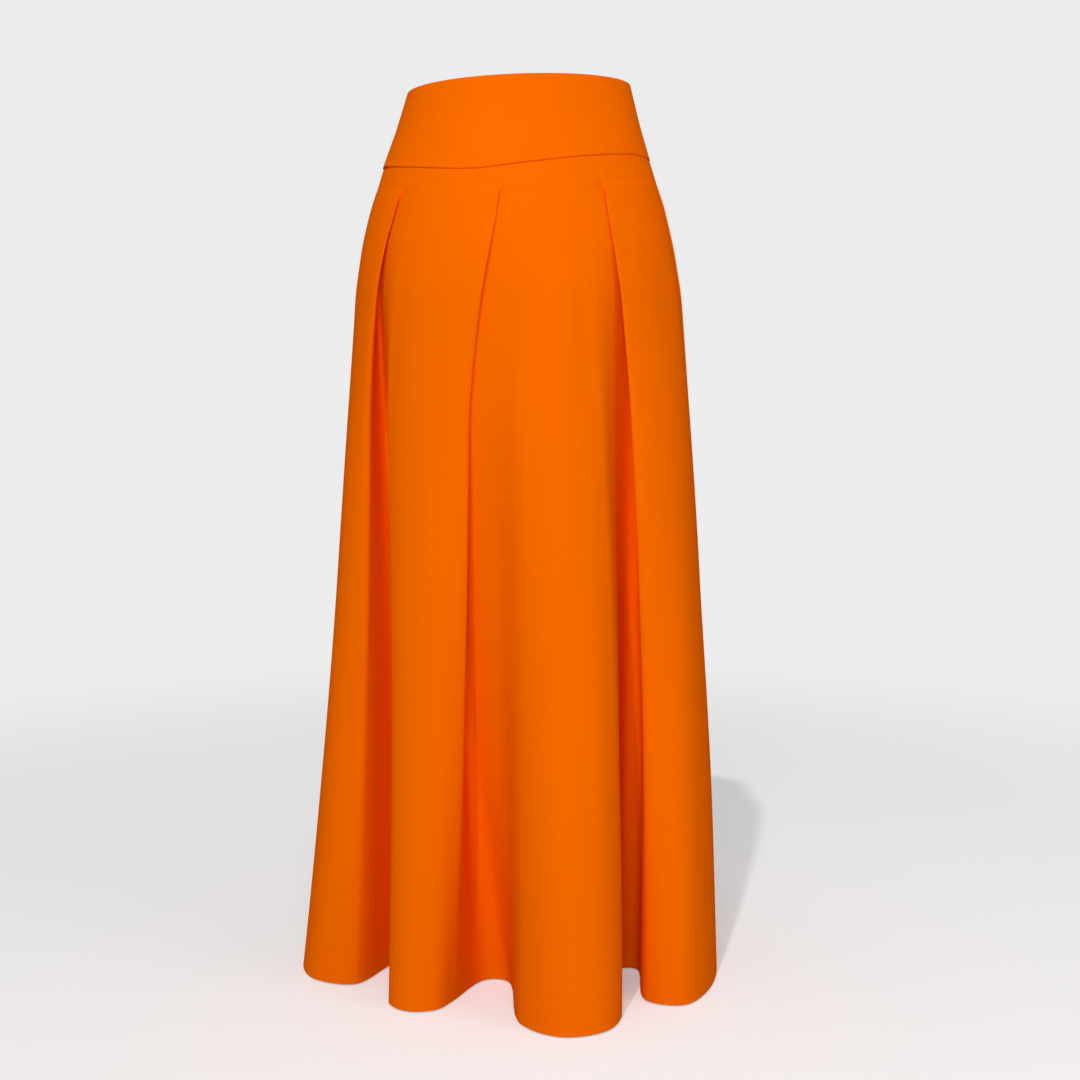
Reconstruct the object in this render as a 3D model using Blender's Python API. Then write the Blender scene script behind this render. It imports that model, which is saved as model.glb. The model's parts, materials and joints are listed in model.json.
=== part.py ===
"""A high-waisted pleated skirt in plain orange cloth, in the shape it takes when worn.

A shaped band fits the waist and spreads to the hips. Below it a front and a back panel
hang to the hem from eight knife pleats, sewn down for a short way under the band and
free below, where they open into eight deep folds. A concealed zip closes the left side.

Metres, +Z up. The origin is the middle of the waist opening, on the band's top edge.
The wearer faces -Y, and the wearer's left side is +X. An azimuth is an angle round the
waist in degrees: 0 is the centre front, 90 the left side, 180 the centre back.
"""

import math

import bpy
import numpy as np
from mathutils import Matrix, Vector

MM = 0.001

# Driving dimensions
LENGTH = 950 * MM  # from the band's top edge to the hem
CLOTH = 1.0 * MM  # wall of the two panels
BAND_CLOTH = 2.0 * MM  # wall of the band, which is two layers and an interlining
BAND_PROUD = 1.0 * MM  # how far the band's outer face stands off the panels'
SEAM_GAP = 0.3 * MM  # between two pieces that are sewn together
WAIST_SLOPE = 0.062  # the top edge rises this much for each metre towards the wearer's left
HANG_FROM = 175 * MM  # depth under the top edge where the cloth leaves the hips
HANG_ROUNDING = 45 * MM  # how gradually it leaves them

# Knife pleats
PLEAT_STACK = 3.9  # mm from the outer face of the top layer to that of the bottom one
PLEAT_NOSE = 1.35  # mm, radius of the folded edge
PLEAT_TUCK = 13.0  # mm that the inner fold lies behind the folded edge, on the hips
PLEAT_RISE = 12 * MM  # length over which the folded edge lifts off
PLEAT_SLIDE = 60 * MM  # length over which the inner fold slides under the top layer
FLAT_SPREAD = 3.0  # mm of cloth for each step of u where the pleat is sewn flat
SEAM_TO_HIP = 260 * MM  # length over which a folded edge moves to its azimuth on the hips
SEAM_TO_HIP_EASE = 1.4
PLEAT_OPENING = 2.5  # how much wider the fold has grown at the end of this length
PLEAT_OPEN_AT = 400 * MM
FLOOR_WIDE_AT = 260 * MM  # below the pleat's start, where the lower layer shows at full width
SWAY = 6.5 * MM  # how far the middle of the skirt stands to the left of a straight hang
VALLEY_FLAT = 0.6  # steps of u on each side of a valley where its row's early holds in full
VALLEY_REACH = 1.8  # and where it has ended
EARLY_ABOVE = 0.3  # early of every valley at the top
TIMED_FROM = 170 * MM  # depth from which each row's own early takes over
TIMED_OVER = 150 * MM  # and the length over which it does
SEAM_HOLD = 60 * MM  # how far below the band the cloth still keeps the hips' form

# The body's form, an ellipse with its own depth in front and behind, at depths under the waist
BODY = [
    dict(depth=0, side=118.5, front=88, back=92),
    dict(depth=40, side=130, front=97, back=103),
    dict(depth=85, side=145, front=109, back=120),
    dict(depth=130, side=158, front=120, back=137),
    dict(depth=175, side=167, front=128, back=148),
    dict(depth=225, side=171, front=132, back=152),
    dict(depth=300, side=171, front=132, back=152),
    dict(depth=950, side=171, front=132, back=152),
]

# The lower edge of the band dips on the wearer's right of the centre front
BAND_EDGE = [
    dict(azimuth=-135, depth=84),
    dict(azimuth=-90, depth=86),
    dict(azimuth=-60, depth=93),
    dict(azimuth=-32, depth=98),
    dict(azimuth=-8, depth=91),
    dict(azimuth=20, depth=80.5),
    dict(azimuth=52, depth=72.5),
    dict(azimuth=90, depth=71.5),
    dict(azimuth=140, depth=79),
]

# One row for each fold of the hem: (azimuth, radius in mm) of its start, its crest's two
# points and its end
LOBES = [
    dict(name="right_side", start=(-121, 214), end=(-83.5, 192),
         crest_a=(-105, 242), crest_b=(-92, 233)),
    dict(name="right_front", start=(-64, 182), end=(-46.6, 137),
         crest_a=(-55, 183), crest_b=(-47.5, 164)),
    dict(name="centre_front", start=(-15.5, 172), end=(17.5, 188),
         crest_a=(-4, 207), crest_b=(9, 208)),
    dict(name="left_front", start=(33, 176), end=(78, 212),
         crest_a=(38, 213), crest_b=(57, 219)),
    dict(name="left_side", start=(89, 226), end=(116, 211),
         crest_a=(98, 232), crest_b=(108, 232)),
    dict(name="left_back", start=(123, 207), end=(150, 204),
         crest_a=(131, 226), crest_b=(142, 228)),
    dict(name="centre_back", start=(160, 172), end=(197, 190),
         crest_a=(168, 214), crest_b=(187, 219)),
    dict(name="right_back", start=(211, 188), end=(231, 205),
         crest_a=(217, 226), crest_b=(226, 228)),
]

# One row for each pleat, after the lobe of the same row. seam and hip are the azimuths of
# its folded edge there, and free how far below the band it is let go. over is +1 where the
# lobe lies on top, and -1 where the next one does. shoulder is how far from the edge the
# lower layer has come out again on the hips, in mm. valley is the middle of the inner
# fold's place at the hem, and width how wide it is there, in mm. Further down, the inner
# fold lies deeper under the top layer and a floor of the lower layer shows beside the edge,
# both in mm. early is how much sooner than the crests the valley takes the hem's form.
PLEATS = [
    dict(name="right_side", seam=-60, hip=-77.5, free=9, over=+1, shoulder=27,
         valley=(-98, 132), width=16, deeper=5, floor=12, early=0.3),
    dict(name="right_front", seam=-16.5, hip=-29.5, free=9, over=+1, shoulder=38,
         valley=(-38.5, 68), width=24, deeper=30, floor=8, early=-0.7),
    dict(name="left_front", seam=21, hip=24.5, free=14, over=-1, shoulder=32,
         valley=(59, 122), width=18, deeper=5, floor=12, early=0.3),
    dict(name="left_side", seam=70, hip=82, free=10, over=-1, shoulder=20,
         valley=(90, 150), width=12, deeper=0, floor=4, early=0.3),
    dict(name="left_back_side", seam=110, hip=107, free=10, over=+1, shoulder=18,
         valley=(118, 143), width=14, deeper=0, floor=4, early=0.3),
    dict(name="left_back", seam=160, hip=152, free=10, over=+1, shoulder=26,
         valley=(152, 117), width=16, deeper=4, floor=8, early=0.3),
    dict(name="right_back", seam=200, hip=208, free=10, over=-1, shoulder=24,
         valley=(207, 117), width=16, deeper=4, floor=6, early=0.3),
    dict(name="right_back_side", seam=246, hip=253, free=10, over=-1, shoulder=22,
         valley=(243, 143), width=14, deeper=4, floor=6, early=0.3),
]

STEPS_PER_LOBE = 6  # u counts these: start, crest a, crest b, end, and the valley's two
VALLEY_STEP = 4.5  # u of the middle of the valley, after the lobe's start
TURNS = STEPS_PER_LOBE * len(LOBES)
RIGHT_SEAM = 1.5  # u of the side seams, half way over the two side lobes
LEFT_SEAM = RIGHT_SEAM + TURNS / 2

# Where the panels have their rows and columns of points
PANEL_ROWS = [0, 0.01, 0.02, 0.03, 0.042, 0.054, 0.068, 0.086, 0.11, 0.14, 0.18, 0.23, 0.29,
              0.36, 0.44, 0.53, 0.62, 0.71, 0.8, 0.88, 0.94, 1.0]
LOBE_COLUMNS = [0, 0.2, 0.6, 1.1, 1.5, 1.9, 2.4, 2.8,
                3, 3.2, 3.6, 4, 4.5, 5, 5.4, 5.8]
BAND_COLUMNS = 28  # on each half of the band
BAND_ROWS = [0, 0.05, 0.07, 0.19, 0.21, 0.42, 0.62, 0.82, 1.0]
SLOT_ROWS = (2, 3)  # between these rows of the band the left side seam is parted for the slider

# Concealed zip, in the left side seam
ZIP_FROM = 4 * MM  # under the top edge
ZIP_TO = 170 * MM
ZIP_ROWS = 12
TAPE_WIDTH = 11 * MM
TAPE = 0.6 * MM
TAPES_APART = 2.6 * MM
TAPE_GAP = 0.8 * MM  # between the cloth and the tape, which clears the facets of both
SLIDER_DEPTH = 10 * MM  # under the top edge
SLIDER_BODY = Vector((2.8, 5.6, 9.0)) * MM
NECK = 1.4 * MM  # thickness of the neck and the ring, across
NECK_HEIGHT = 3.6 * MM
SLOT = 2.2 * MM
RING_OUT = 2.9 * MM  # from the band's face to the ring's middle
RING_RADIUS = 2.1 * MM
RING_HOLE = 1.2 * MM
RING_SIDES = 24
PULL_LENGTH = 18 * MM
PULL_WIDTH = 4.6 * MM
PULL_PLATE = 1.1 * MM
PULL_WINDOW = (2.3 * MM, 3.6 * MM)  # across and down
PULL_TAPER = 0.75  # the far end's width as a share of the near end's

SEAM_PROBE = 1.4  # steps of u on each side of the seam, over which its form is read
SEAM_PROBES = 57  # points over that stretch
SHARP_ANGLE = 40.0  # degrees between two faces, past which their edge is drawn sharp

# Finishes: colour, roughness and how metallic
ORANGE_CLOTH = ((0.92, 0.15, 0.004), 0.6, 0.0)
ZIP_TAPE = ((0.80, 0.14, 0.006), 0.8, 0.0)
PAINTED_METAL = ((0.72, 0.12, 0.01), 0.35, 0.3)


def column(table, key):
    return np.array([row[key] for row in table], float)


def smooth_step(x):
    x = np.clip(x, 0.0, 1.0)
    return x * x * (3 - 2 * x)


def through(knots, values, x):
    """A smooth curve through the values that never swings past them."""
    width = np.diff(knots)
    slope = np.diff(values) / width
    turn = np.concatenate([[slope[0]], np.zeros(len(knots) - 2), [slope[-1]]])
    a, b = 2 * width[1:] + width[:-1], width[1:] + 2 * width[:-1]
    runs_on = slope[:-1] * slope[1:] > 0
    before, after = (np.where(runs_on, side, 1.0) for side in (slope[:-1], slope[1:]))
    turn[1:-1] = np.where(runs_on, (a + b) / (a / before + b / after), 0.0)
    i = np.clip(np.searchsorted(knots, x, side="right") - 1, 0, len(width) - 1)
    f = (x - knots[i]) / width[i]
    start, end = values[i], values[i + 1]
    return (
        (1 + 2 * f) * (1 - f) ** 2 * start
        + f * (1 - f) ** 2 * width[i] * turn[i]
        + f * f * (3 - 2 * f) * end
        - f * f * (1 - f) * width[i] * turn[i + 1]
    )


def body_ring(azimuth, depth, lift):
    """Points of the body's form: lift is how far they stand off it."""
    turn = np.radians(azimuth)
    side, front, back = (through(column(BODY, "depth") * MM, column(BODY, key) * MM, depth)
                         for key in ("side", "front", "back"))
    reach = np.where(np.cos(turn) > 0, front, back)
    return np.stack([(side + lift) * np.sin(turn), -(reach + lift) * np.cos(turn)], axis=-1)


def band_edge_depth(azimuth):
    """Depth of the band's lower edge under the waist, all the way round."""
    places, depths = column(BAND_EDGE, "azimuth"), column(BAND_EDGE, "depth") * MM
    places = np.concatenate([places - 360, places, places + 360])
    turn = (np.asarray(azimuth, float) + 180) % 360 - 180
    return through(places, np.tile(depths, 3), turn)


def top_edge_height(azimuth):
    return WAIST_SLOPE * body_ring(azimuth, np.zeros_like(azimuth), 0.0)[..., 0]


def polar(azimuth, radius):
    turn = np.radians(azimuth)
    return np.stack([radius * np.sin(turn), -radius * np.cos(turn)], axis=-1)


def hem_controls():
    """The hem's control points in order round it, six for each lobe."""
    points = []
    for index, (lobe, pleat) in enumerate(zip(LOBES, PLEATS)):
        lobe_points = [polar(*lobe[key]) for key in ("start", "crest_a", "crest_b", "end")]
        next_start = polar(*LOBES[(index + 1) % len(LOBES)]["start"])
        valley = polar(*pleat["valley"])
        inward = valley - (lobe_points[-1] + next_start) / 2
        across = np.array([inward[1], -inward[0]]) / np.linalg.norm(inward)
        half = across * pleat["width"] / 2
        points += lobe_points + [valley - half, valley + half]
    return np.array(points) * MM


def hem_curve(u):
    """The hem seen from above, a closed Catmull-Rom curve spaced by the root of the chords."""
    points = hem_controls()
    first = np.floor(u).astype(int)
    p = [points[(first + k) % TURNS] for k in (-1, 0, 1, 2)]
    gap = [np.sqrt(np.linalg.norm(p[k + 1] - p[k], axis=-1, keepdims=True)) for k in range(3)]
    t = [0 * gap[0], gap[0], gap[0] + gap[1], gap[0] + gap[1] + gap[2]]
    x = t[1] + (u - first)[:, None] * gap[1]

    def mix(a, b, ta, tb):
        return (tb - x) / (tb - ta) * a + (x - ta) / (tb - ta) * b

    a1, a2, a3 = (mix(p[k], p[k + 1], t[k], t[k + 1]) for k in range(3))
    b1, b2 = mix(a1, a2, t[0], t[2]), mix(a2, a3, t[1], t[3])
    return mix(b1, b2, t[1], t[2])


def pleat_knots(index, below_seam):
    """(u, azimuth, lift) knots of one pleat at this distance below the band's edge.

    The cloth runs over the folded edge, back under the top layer to the inner fold, and
    forward again as the bottom layer."""
    pleat = PLEATS[index]
    free = below_seam - pleat["free"] * MM
    lifted = smooth_step(free / PLEAT_RISE)
    slid = smooth_step((free - PLEAT_RISE) / PLEAT_SLIDE)
    opening = 1 + PLEAT_OPENING * smooth_step(free / PLEAT_OPEN_AT)
    top, nose = PLEAT_STACK / 2 * opening, PLEAT_NOSE * opening
    middle, bottom = top - 2 * nose, -top
    tuck = PLEAT_TUCK + pleat["deeper"] * smooth_step(free / PLEAT_OPEN_AT)
    floor = pleat["floor"] * smooth_step(free / FLOOR_WIDE_AT)
    rows = np.array([
        (-1.70, -1.5 * nose, top),
        (-1.50, 0.0, top - nose),
        (-1.30, -1.5 * nose, middle),
        (-0.50, 1.2 * nose - tuck, middle),
        (0.00, -tuck, (middle + bottom) / 2),
        (0.50, 1.2 * nose - tuck, bottom),
        (1.00, nose + floor, bottom),
        (1.50, pleat["shoulder"], 0.0),
    ])
    flat = rows[:, 0] * FLAT_SPREAD
    across = flat + (rows[:, 1] - flat) * slid
    across[-1] = pleat["shoulder"]
    lift = rows[:, 2] * lifted
    step, side = rows[:, 0], pleat["over"]
    if side < 0:
        step, across, lift = -step[::-1], -across[::-1], lift[::-1]
    moved = 1 - (1 - min(below_seam / SEAM_TO_HIP, 1)) ** SEAM_TO_HIP_EASE
    azimuth = pleat["seam"] + (pleat["hip"] - pleat["seam"]) * moved
    mm_per_degree = math.pi / 180 * float(np.mean(column(BODY, "side")[2:5]))
    u = STEPS_PER_LOBE * index + VALLEY_STEP + step
    return np.stack([u, azimuth + across / mm_per_degree, lift * MM], axis=-1)


def ring_knots(row):
    """Knots of a whole turn at this share of the way down, with one more turn on each side."""
    knots = []
    pleats = []
    for index, pleat in enumerate(PLEATS):
        edge = band_edge_depth(np.array(pleat["seam"]))
        pleats.append(pleat_knots(index, row * (LENGTH - edge)))
    for index in range(len(LOBES)):
        before, after = pleats[index - 1], pleats[index]
        start, end = before[-1].copy(), after[0]
        if index == 0:
            start[:2] -= (TURNS, 360)
        for step, share in ((1, 1 / 3), (2, 2 / 3)):
            azimuth = start[1] + (end[1] - start[1]) * share
            lift = start[2] + (end[2] - start[2]) * share
            knots.append((STEPS_PER_LOBE * index + step, azimuth, lift))
        knots += [tuple(knot) for knot in after]
    turn = np.array(knots)
    return np.concatenate([turn + (k * TURNS, k * 360, 0) for k in (-1, 0, 1)])


def hang(depth):
    """Share of the way from the hips' form to the hem's, for the distance from the middle."""
    x = (depth - HANG_FROM) / (LENGTH - HANG_FROM)
    soft = HANG_ROUNDING / LENGTH
    ramp = (x + np.sqrt(x * x + soft * soft)) / 2
    return ramp / ((1 + math.sqrt(1 + soft * soft)) / 2)


def panel_row(row, u):
    """Outer points of the two panels at one share of the way from the band to the hem."""
    knots = ring_knots(row)
    azimuth = through(knots[:, 0], knots[:, 1], u)
    lift = through(knots[:, 0], knots[:, 2], u)
    edge = band_edge_depth(azimuth) + SEAM_GAP
    depth = edge + row * (LENGTH - edge)
    near = body_ring(azimuth, depth, lift)
    far = hem_curve(u)
    half = STEPS_PER_LOBE / 2
    from_valley = abs((u - VALLEY_STEP + half) % STEPS_PER_LOBE - half)
    in_valley = 1 - smooth_step((from_valley - VALLEY_FLAT) / (VALLEY_REACH - VALLEY_FLAT))
    nearest = np.floor((u - VALLEY_STEP + half) / STEPS_PER_LOBE).astype(int) % len(PLEATS)
    low = smooth_step((depth - TIMED_FROM) / TIMED_OVER)
    early = EARLY_ABOVE + (column(PLEATS, "early")[nearest] - EARLY_ABOVE) * low
    share = hang(depth) ** (1 - early * in_valley)
    share = share * smooth_step((depth - edge) / SEAM_HOLD)
    place = near + (far - near) * share[:, None]
    place[:, 0] += 4 * SWAY * hang(depth) * (1 - hang(depth))
    return np.column_stack([place, -depth])


def normals_of(grid):
    """Unit normals, pointing out, of a grid of points whose rows are closed rings."""
    along = np.roll(grid, -1, axis=1) - np.roll(grid, 1, axis=1)
    down = np.gradient(grid, axis=0)
    normal = np.cross(down, along)
    return normal / np.linalg.norm(normal, axis=-1, keepdims=True)


def trim_sides(grid, first_gap, last_gap):
    """Draws in the first and last columns, which leaves a gap at each side seam."""
    grid = grid.copy()
    for edge, inner, gap in ((0, 1, first_gap), (-1, -2, last_gap)):
        way = grid[:, inner] - grid[:, edge]
        grid[:, edge] += way / np.linalg.norm(way, axis=-1, keepdims=True) * np.reshape(gap, (-1, 1))
    return grid


def material(name, colour, roughness, metallic=0.0):
    """A finish for one node, named after it."""
    made = bpy.data.materials.new(name)
    made.use_nodes = True
    shader = made.node_tree.nodes["Principled BSDF"]
    shader.inputs["Base Color"].default_value = (*colour, 1)
    shader.inputs["Roughness"].default_value = roughness
    shader.inputs["Metallic"].default_value = metallic
    return made


def add_object(name, points, faces, finish):
    mesh = bpy.data.meshes.new(name)
    mesh.from_pydata([tuple(map(float, p)) for p in points], [], faces)
    mesh.materials.append(material(name, *finish))
    mesh.validate()
    mesh.shade_smooth()
    mesh.set_sharp_from_angle(angle=math.radians(SHARP_ANGLE))
    made = bpy.data.objects.new(name, mesh)
    bpy.context.scene.collection.objects.link(made)
    return made


def add_wall(name, outer, inner, finish):
    """A closed wall between two grids of points, which have the same rows and columns."""
    rows, columns = outer.shape[:2]
    points = np.concatenate([outer.reshape(-1, 3), inner.reshape(-1, 3)])
    back = rows * columns

    def at(r, c):
        return r * columns + c

    # Both sides split each quad along the outer one's shorter diagonal, which keeps the
    # wall's thickness where the quad is twisted.
    falling = np.linalg.norm(outer[1:, 1:] - outer[:-1, :-1], axis=-1)
    rising = np.linalg.norm(outer[1:, :-1] - outer[:-1, 1:], axis=-1)
    faces = []
    for r in range(rows - 1):
        for c in range(columns - 1):
            a, b, d, e = at(r, c), at(r + 1, c), at(r + 1, c + 1), at(r, c + 1)
            if falling[r, c] < rising[r, c]:
                split = [(a, b, d), (a, d, e)]
            else:
                split = [(a, b, e), (b, d, e)]
            for face in split:
                faces += [face, tuple(back + i for i in reversed(face))]
    top = [at(0, c) for c in range(columns)]
    bottom = [at(rows - 1, c) for c in reversed(range(columns))]
    left = [at(r, 0) for r in reversed(range(rows))]
    right = [at(r, columns - 1) for r in range(rows)]
    rim = top[:-1] + right[:-1] + bottom[:-1] + left[:-1]
    for a, b in zip(rim, rim[1:] + rim[:1]):
        faces.append((a, b, back + b, back + a))
    return add_object(name, points, faces, finish)


def add_panels():
    """The front and the back panel, each one wall from side seam to side seam."""
    u = np.add.outer(STEPS_PER_LOBE * np.arange(len(LOBES)), LOBE_COLUMNS).ravel()
    outer = np.stack([panel_row(row, u) for row in PANEL_ROWS])
    inner = outer - CLOTH * normals_of(outer)
    inner[0, :, 2] = outer[0, :, 2]
    inner[-1, :, 2] = outer[-1, :, 2]
    right, left = np.searchsorted(u, [RIGHT_SEAM, LEFT_SEAM])
    spans = {
        "front_panel": np.arange(right, left + 1),
        "back_panel": np.arange(left, right + len(u) + 1) % len(u),
    }
    for name, columns in spans.items():
        walls = [trim_sides(wall[:, columns], SEAM_GAP / 2, SEAM_GAP / 2)
                 for wall in (outer, inner)]
        add_wall(name, *walls, ORANGE_CLOTH)


def band_points(azimuth, share, lift):
    """Points of the band: share runs from 0 at its top edge to 1 at its lower one."""
    edge = band_edge_depth(azimuth)
    place = body_ring(azimuth, share * edge, lift)
    return np.column_stack([place, top_edge_height(azimuth) * (1 - share) - share * edge])


def band_grid(azimuth, lift):
    return np.stack([band_points(azimuth, share, lift) for share in BAND_ROWS])


def add_band():
    """The shaped band: a front and a back piece that meet at the side seams."""
    parted = np.full(len(BAND_ROWS), SEAM_GAP / 2)
    parted[SLOT_ROWS[0]:SLOT_ROWS[1] + 1] = SLOT / 2
    closed = np.full(len(BAND_ROWS), SEAM_GAP / 2)
    pieces = {
        "front_band": (-90.0, closed, parted),
        "back_band": (90.0, parted, closed),
    }
    for name, (first, *gaps) in pieces.items():
        azimuth = np.linspace(first, first + 180, BAND_COLUMNS + 1)
        walls = [trim_sides(band_grid(azimuth, lift), *gaps)
                 for lift in (BAND_PROUD, BAND_PROUD - BAND_CLOTH)]
        add_wall(name, *walls, ORANGE_CLOTH)


def behind_seam(across, depth, inset):
    """A point inside the left side seam, this far round from it and in from the cloth."""
    edge = float(band_edge_depth(90.0))
    if depth < edge:
        lift = BAND_PROUD - BAND_CLOTH - inset
        azimuth = 90 + math.degrees(across / column(BODY, "front")[0] / MM)
        return band_points(np.array([azimuth]), depth / edge, lift)[0]
    row = (depth - edge) / (LENGTH - edge)
    line = panel_row(row, LEFT_SEAM + np.linspace(-SEAM_PROBE, SEAM_PROBE, SEAM_PROBES))
    step = np.linalg.norm(np.diff(line, axis=0), axis=-1)
    arc = np.concatenate([[0.0], np.cumsum(step)])
    arc -= arc[SEAM_PROBES // 2]
    along = np.gradient(line, arc, axis=0)
    out = np.column_stack([along[:, 1], -along[:, 0], np.zeros(SEAM_PROBES)])
    out /= np.linalg.norm(out, axis=-1, keepdims=True)
    inside = line - out * (CLOTH + inset)
    return np.array([np.interp(across, arc, inside[:, axis]) for axis in range(3)])


def add_tapes():
    """The two tapes of the zip, behind the side seam and clear of it."""
    depths = np.linspace(ZIP_FROM, ZIP_TO, ZIP_ROWS)
    for name, side in (("zip_tape_front", -1), ("zip_tape_back", 1)):
        near, far = TAPES_APART / 2, TAPES_APART / 2 + TAPE_WIDTH
        columns = sorted(side * x for x in (near, (near + far) / 2, far))
        walls = [np.array([[behind_seam(x, depth, inset) for x in columns] for depth in depths])
                 for inset in (TAPE_GAP, TAPE_GAP + TAPE)]
        add_wall(name, *walls, ZIP_TAPE)


def box(name, size, middle):
    bpy.ops.mesh.primitive_cube_add(size=1, location=middle)
    made = bpy.context.object
    made.name = name
    made.scale = size
    bpy.ops.object.transform_apply(location=True, scale=True)
    return made


def cylinder_across(name, radius, width):
    bpy.ops.mesh.primitive_cylinder_add(vertices=RING_SIDES, radius=radius, depth=width,
                                        rotation=(math.pi / 2, 0, 0))
    made = bpy.context.object
    made.name = name
    bpy.ops.object.transform_apply(rotation=True)
    return made


def join(made, other, operation):
    cut = made.modifiers.new(operation.lower(), "BOOLEAN")
    cut.object = other
    cut.operation = operation
    cut.solver = "EXACT"
    bpy.context.view_layer.objects.active = made
    bpy.ops.object.modifier_apply(modifier=cut.name)
    bpy.data.objects.remove(other)


def add_slider():
    """The slider: its body behind the tapes, and a neck through the seam to a ring outside.

    Its own axes are out of the cloth, across the seam and up along it, about the ring."""
    inner_face = -RING_OUT - BAND_CLOTH - TAPE_GAP - TAPE - SEAM_GAP
    slider = box("zip_slider", SLIDER_BODY, (inner_face - SLIDER_BODY.x / 2, 0, 0))
    start, end = inner_face - SLIDER_BODY.x / 2, -(RING_HOLE + RING_RADIUS) / 2
    neck = box("neck", (end - start, NECK, NECK_HEIGHT), ((start + end) / 2, 0, 0))
    join(slider, neck, "UNION")
    join(slider, cylinder_across("ring", RING_RADIUS, NECK), "UNION")
    join(slider, cylinder_across("hole", RING_HOLE, 4 * NECK), "DIFFERENCE")
    slider.data.materials.clear()
    slider.data.materials.append(material("zip_slider", *PAINTED_METAL))
    return slider


def add_pull():
    """The pull tab: a tapered plate whose top rail runs through the slider's ring."""
    rail = PULL_PLATE
    plate = (PULL_PLATE, PULL_WIDTH, PULL_LENGTH)
    pull = box("zip_pull", plate, (0, 0, rail / 2 - PULL_LENGTH / 2))
    for corner in pull.data.vertices:
        if corner.co.z < 0:
            corner.co.y *= PULL_TAPER
    across, down = PULL_WINDOW
    window = box("window", (4 * PULL_PLATE, across, down), (0, 0, -rail / 2 - down / 2))
    join(pull, window, "DIFFERENCE")
    pull.data.materials.clear()
    pull.data.materials.append(material("zip_pull", *PAINTED_METAL))
    return pull


def add_zip():
    """The tapes, and the slider and its tab under an empty on the tab's hinge."""
    add_tapes()
    edge = float(band_edge_depth(90.0))
    depths = (SLIDER_DEPTH / 2, SLIDER_DEPTH, SLIDER_DEPTH * 3 / 2)
    above, middle, below = (band_points(np.array([90.0]), depth / edge, BAND_PROUD)[0]
                            for depth in depths)
    lean = math.atan2(below[0] - above[0], above[2] - below[2])
    place = Matrix.Translation(Vector(middle)) @ Matrix.Rotation(-lean, 4, "Y")
    hinge = bpy.data.objects.new("zip_pull_axis", None)
    bpy.context.scene.collection.objects.link(hinge)
    hinge.matrix_world = place @ Matrix.Translation((RING_OUT, 0, 0))
    for piece in (add_slider(), add_pull()):
        piece.parent = hinge


def clear_scene():
    for thing in list(bpy.data.objects):
        bpy.data.objects.remove(thing)


def main():
    clear_scene()
    add_band()
    add_panels()
    add_zip()


main()
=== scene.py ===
"""The looks of a high-waisted pleated skirt in plain orange cloth.

The panels and the band are fine shells on the form of their solids, with the creases,
turned edges and seams that show. The seam allowances, the hem and the zip are seen from
inside. Metres, +Z up. The wearer faces -Y, and the zip is on the wearer's left, at +X.
"""

import functools
import json
import math

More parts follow.
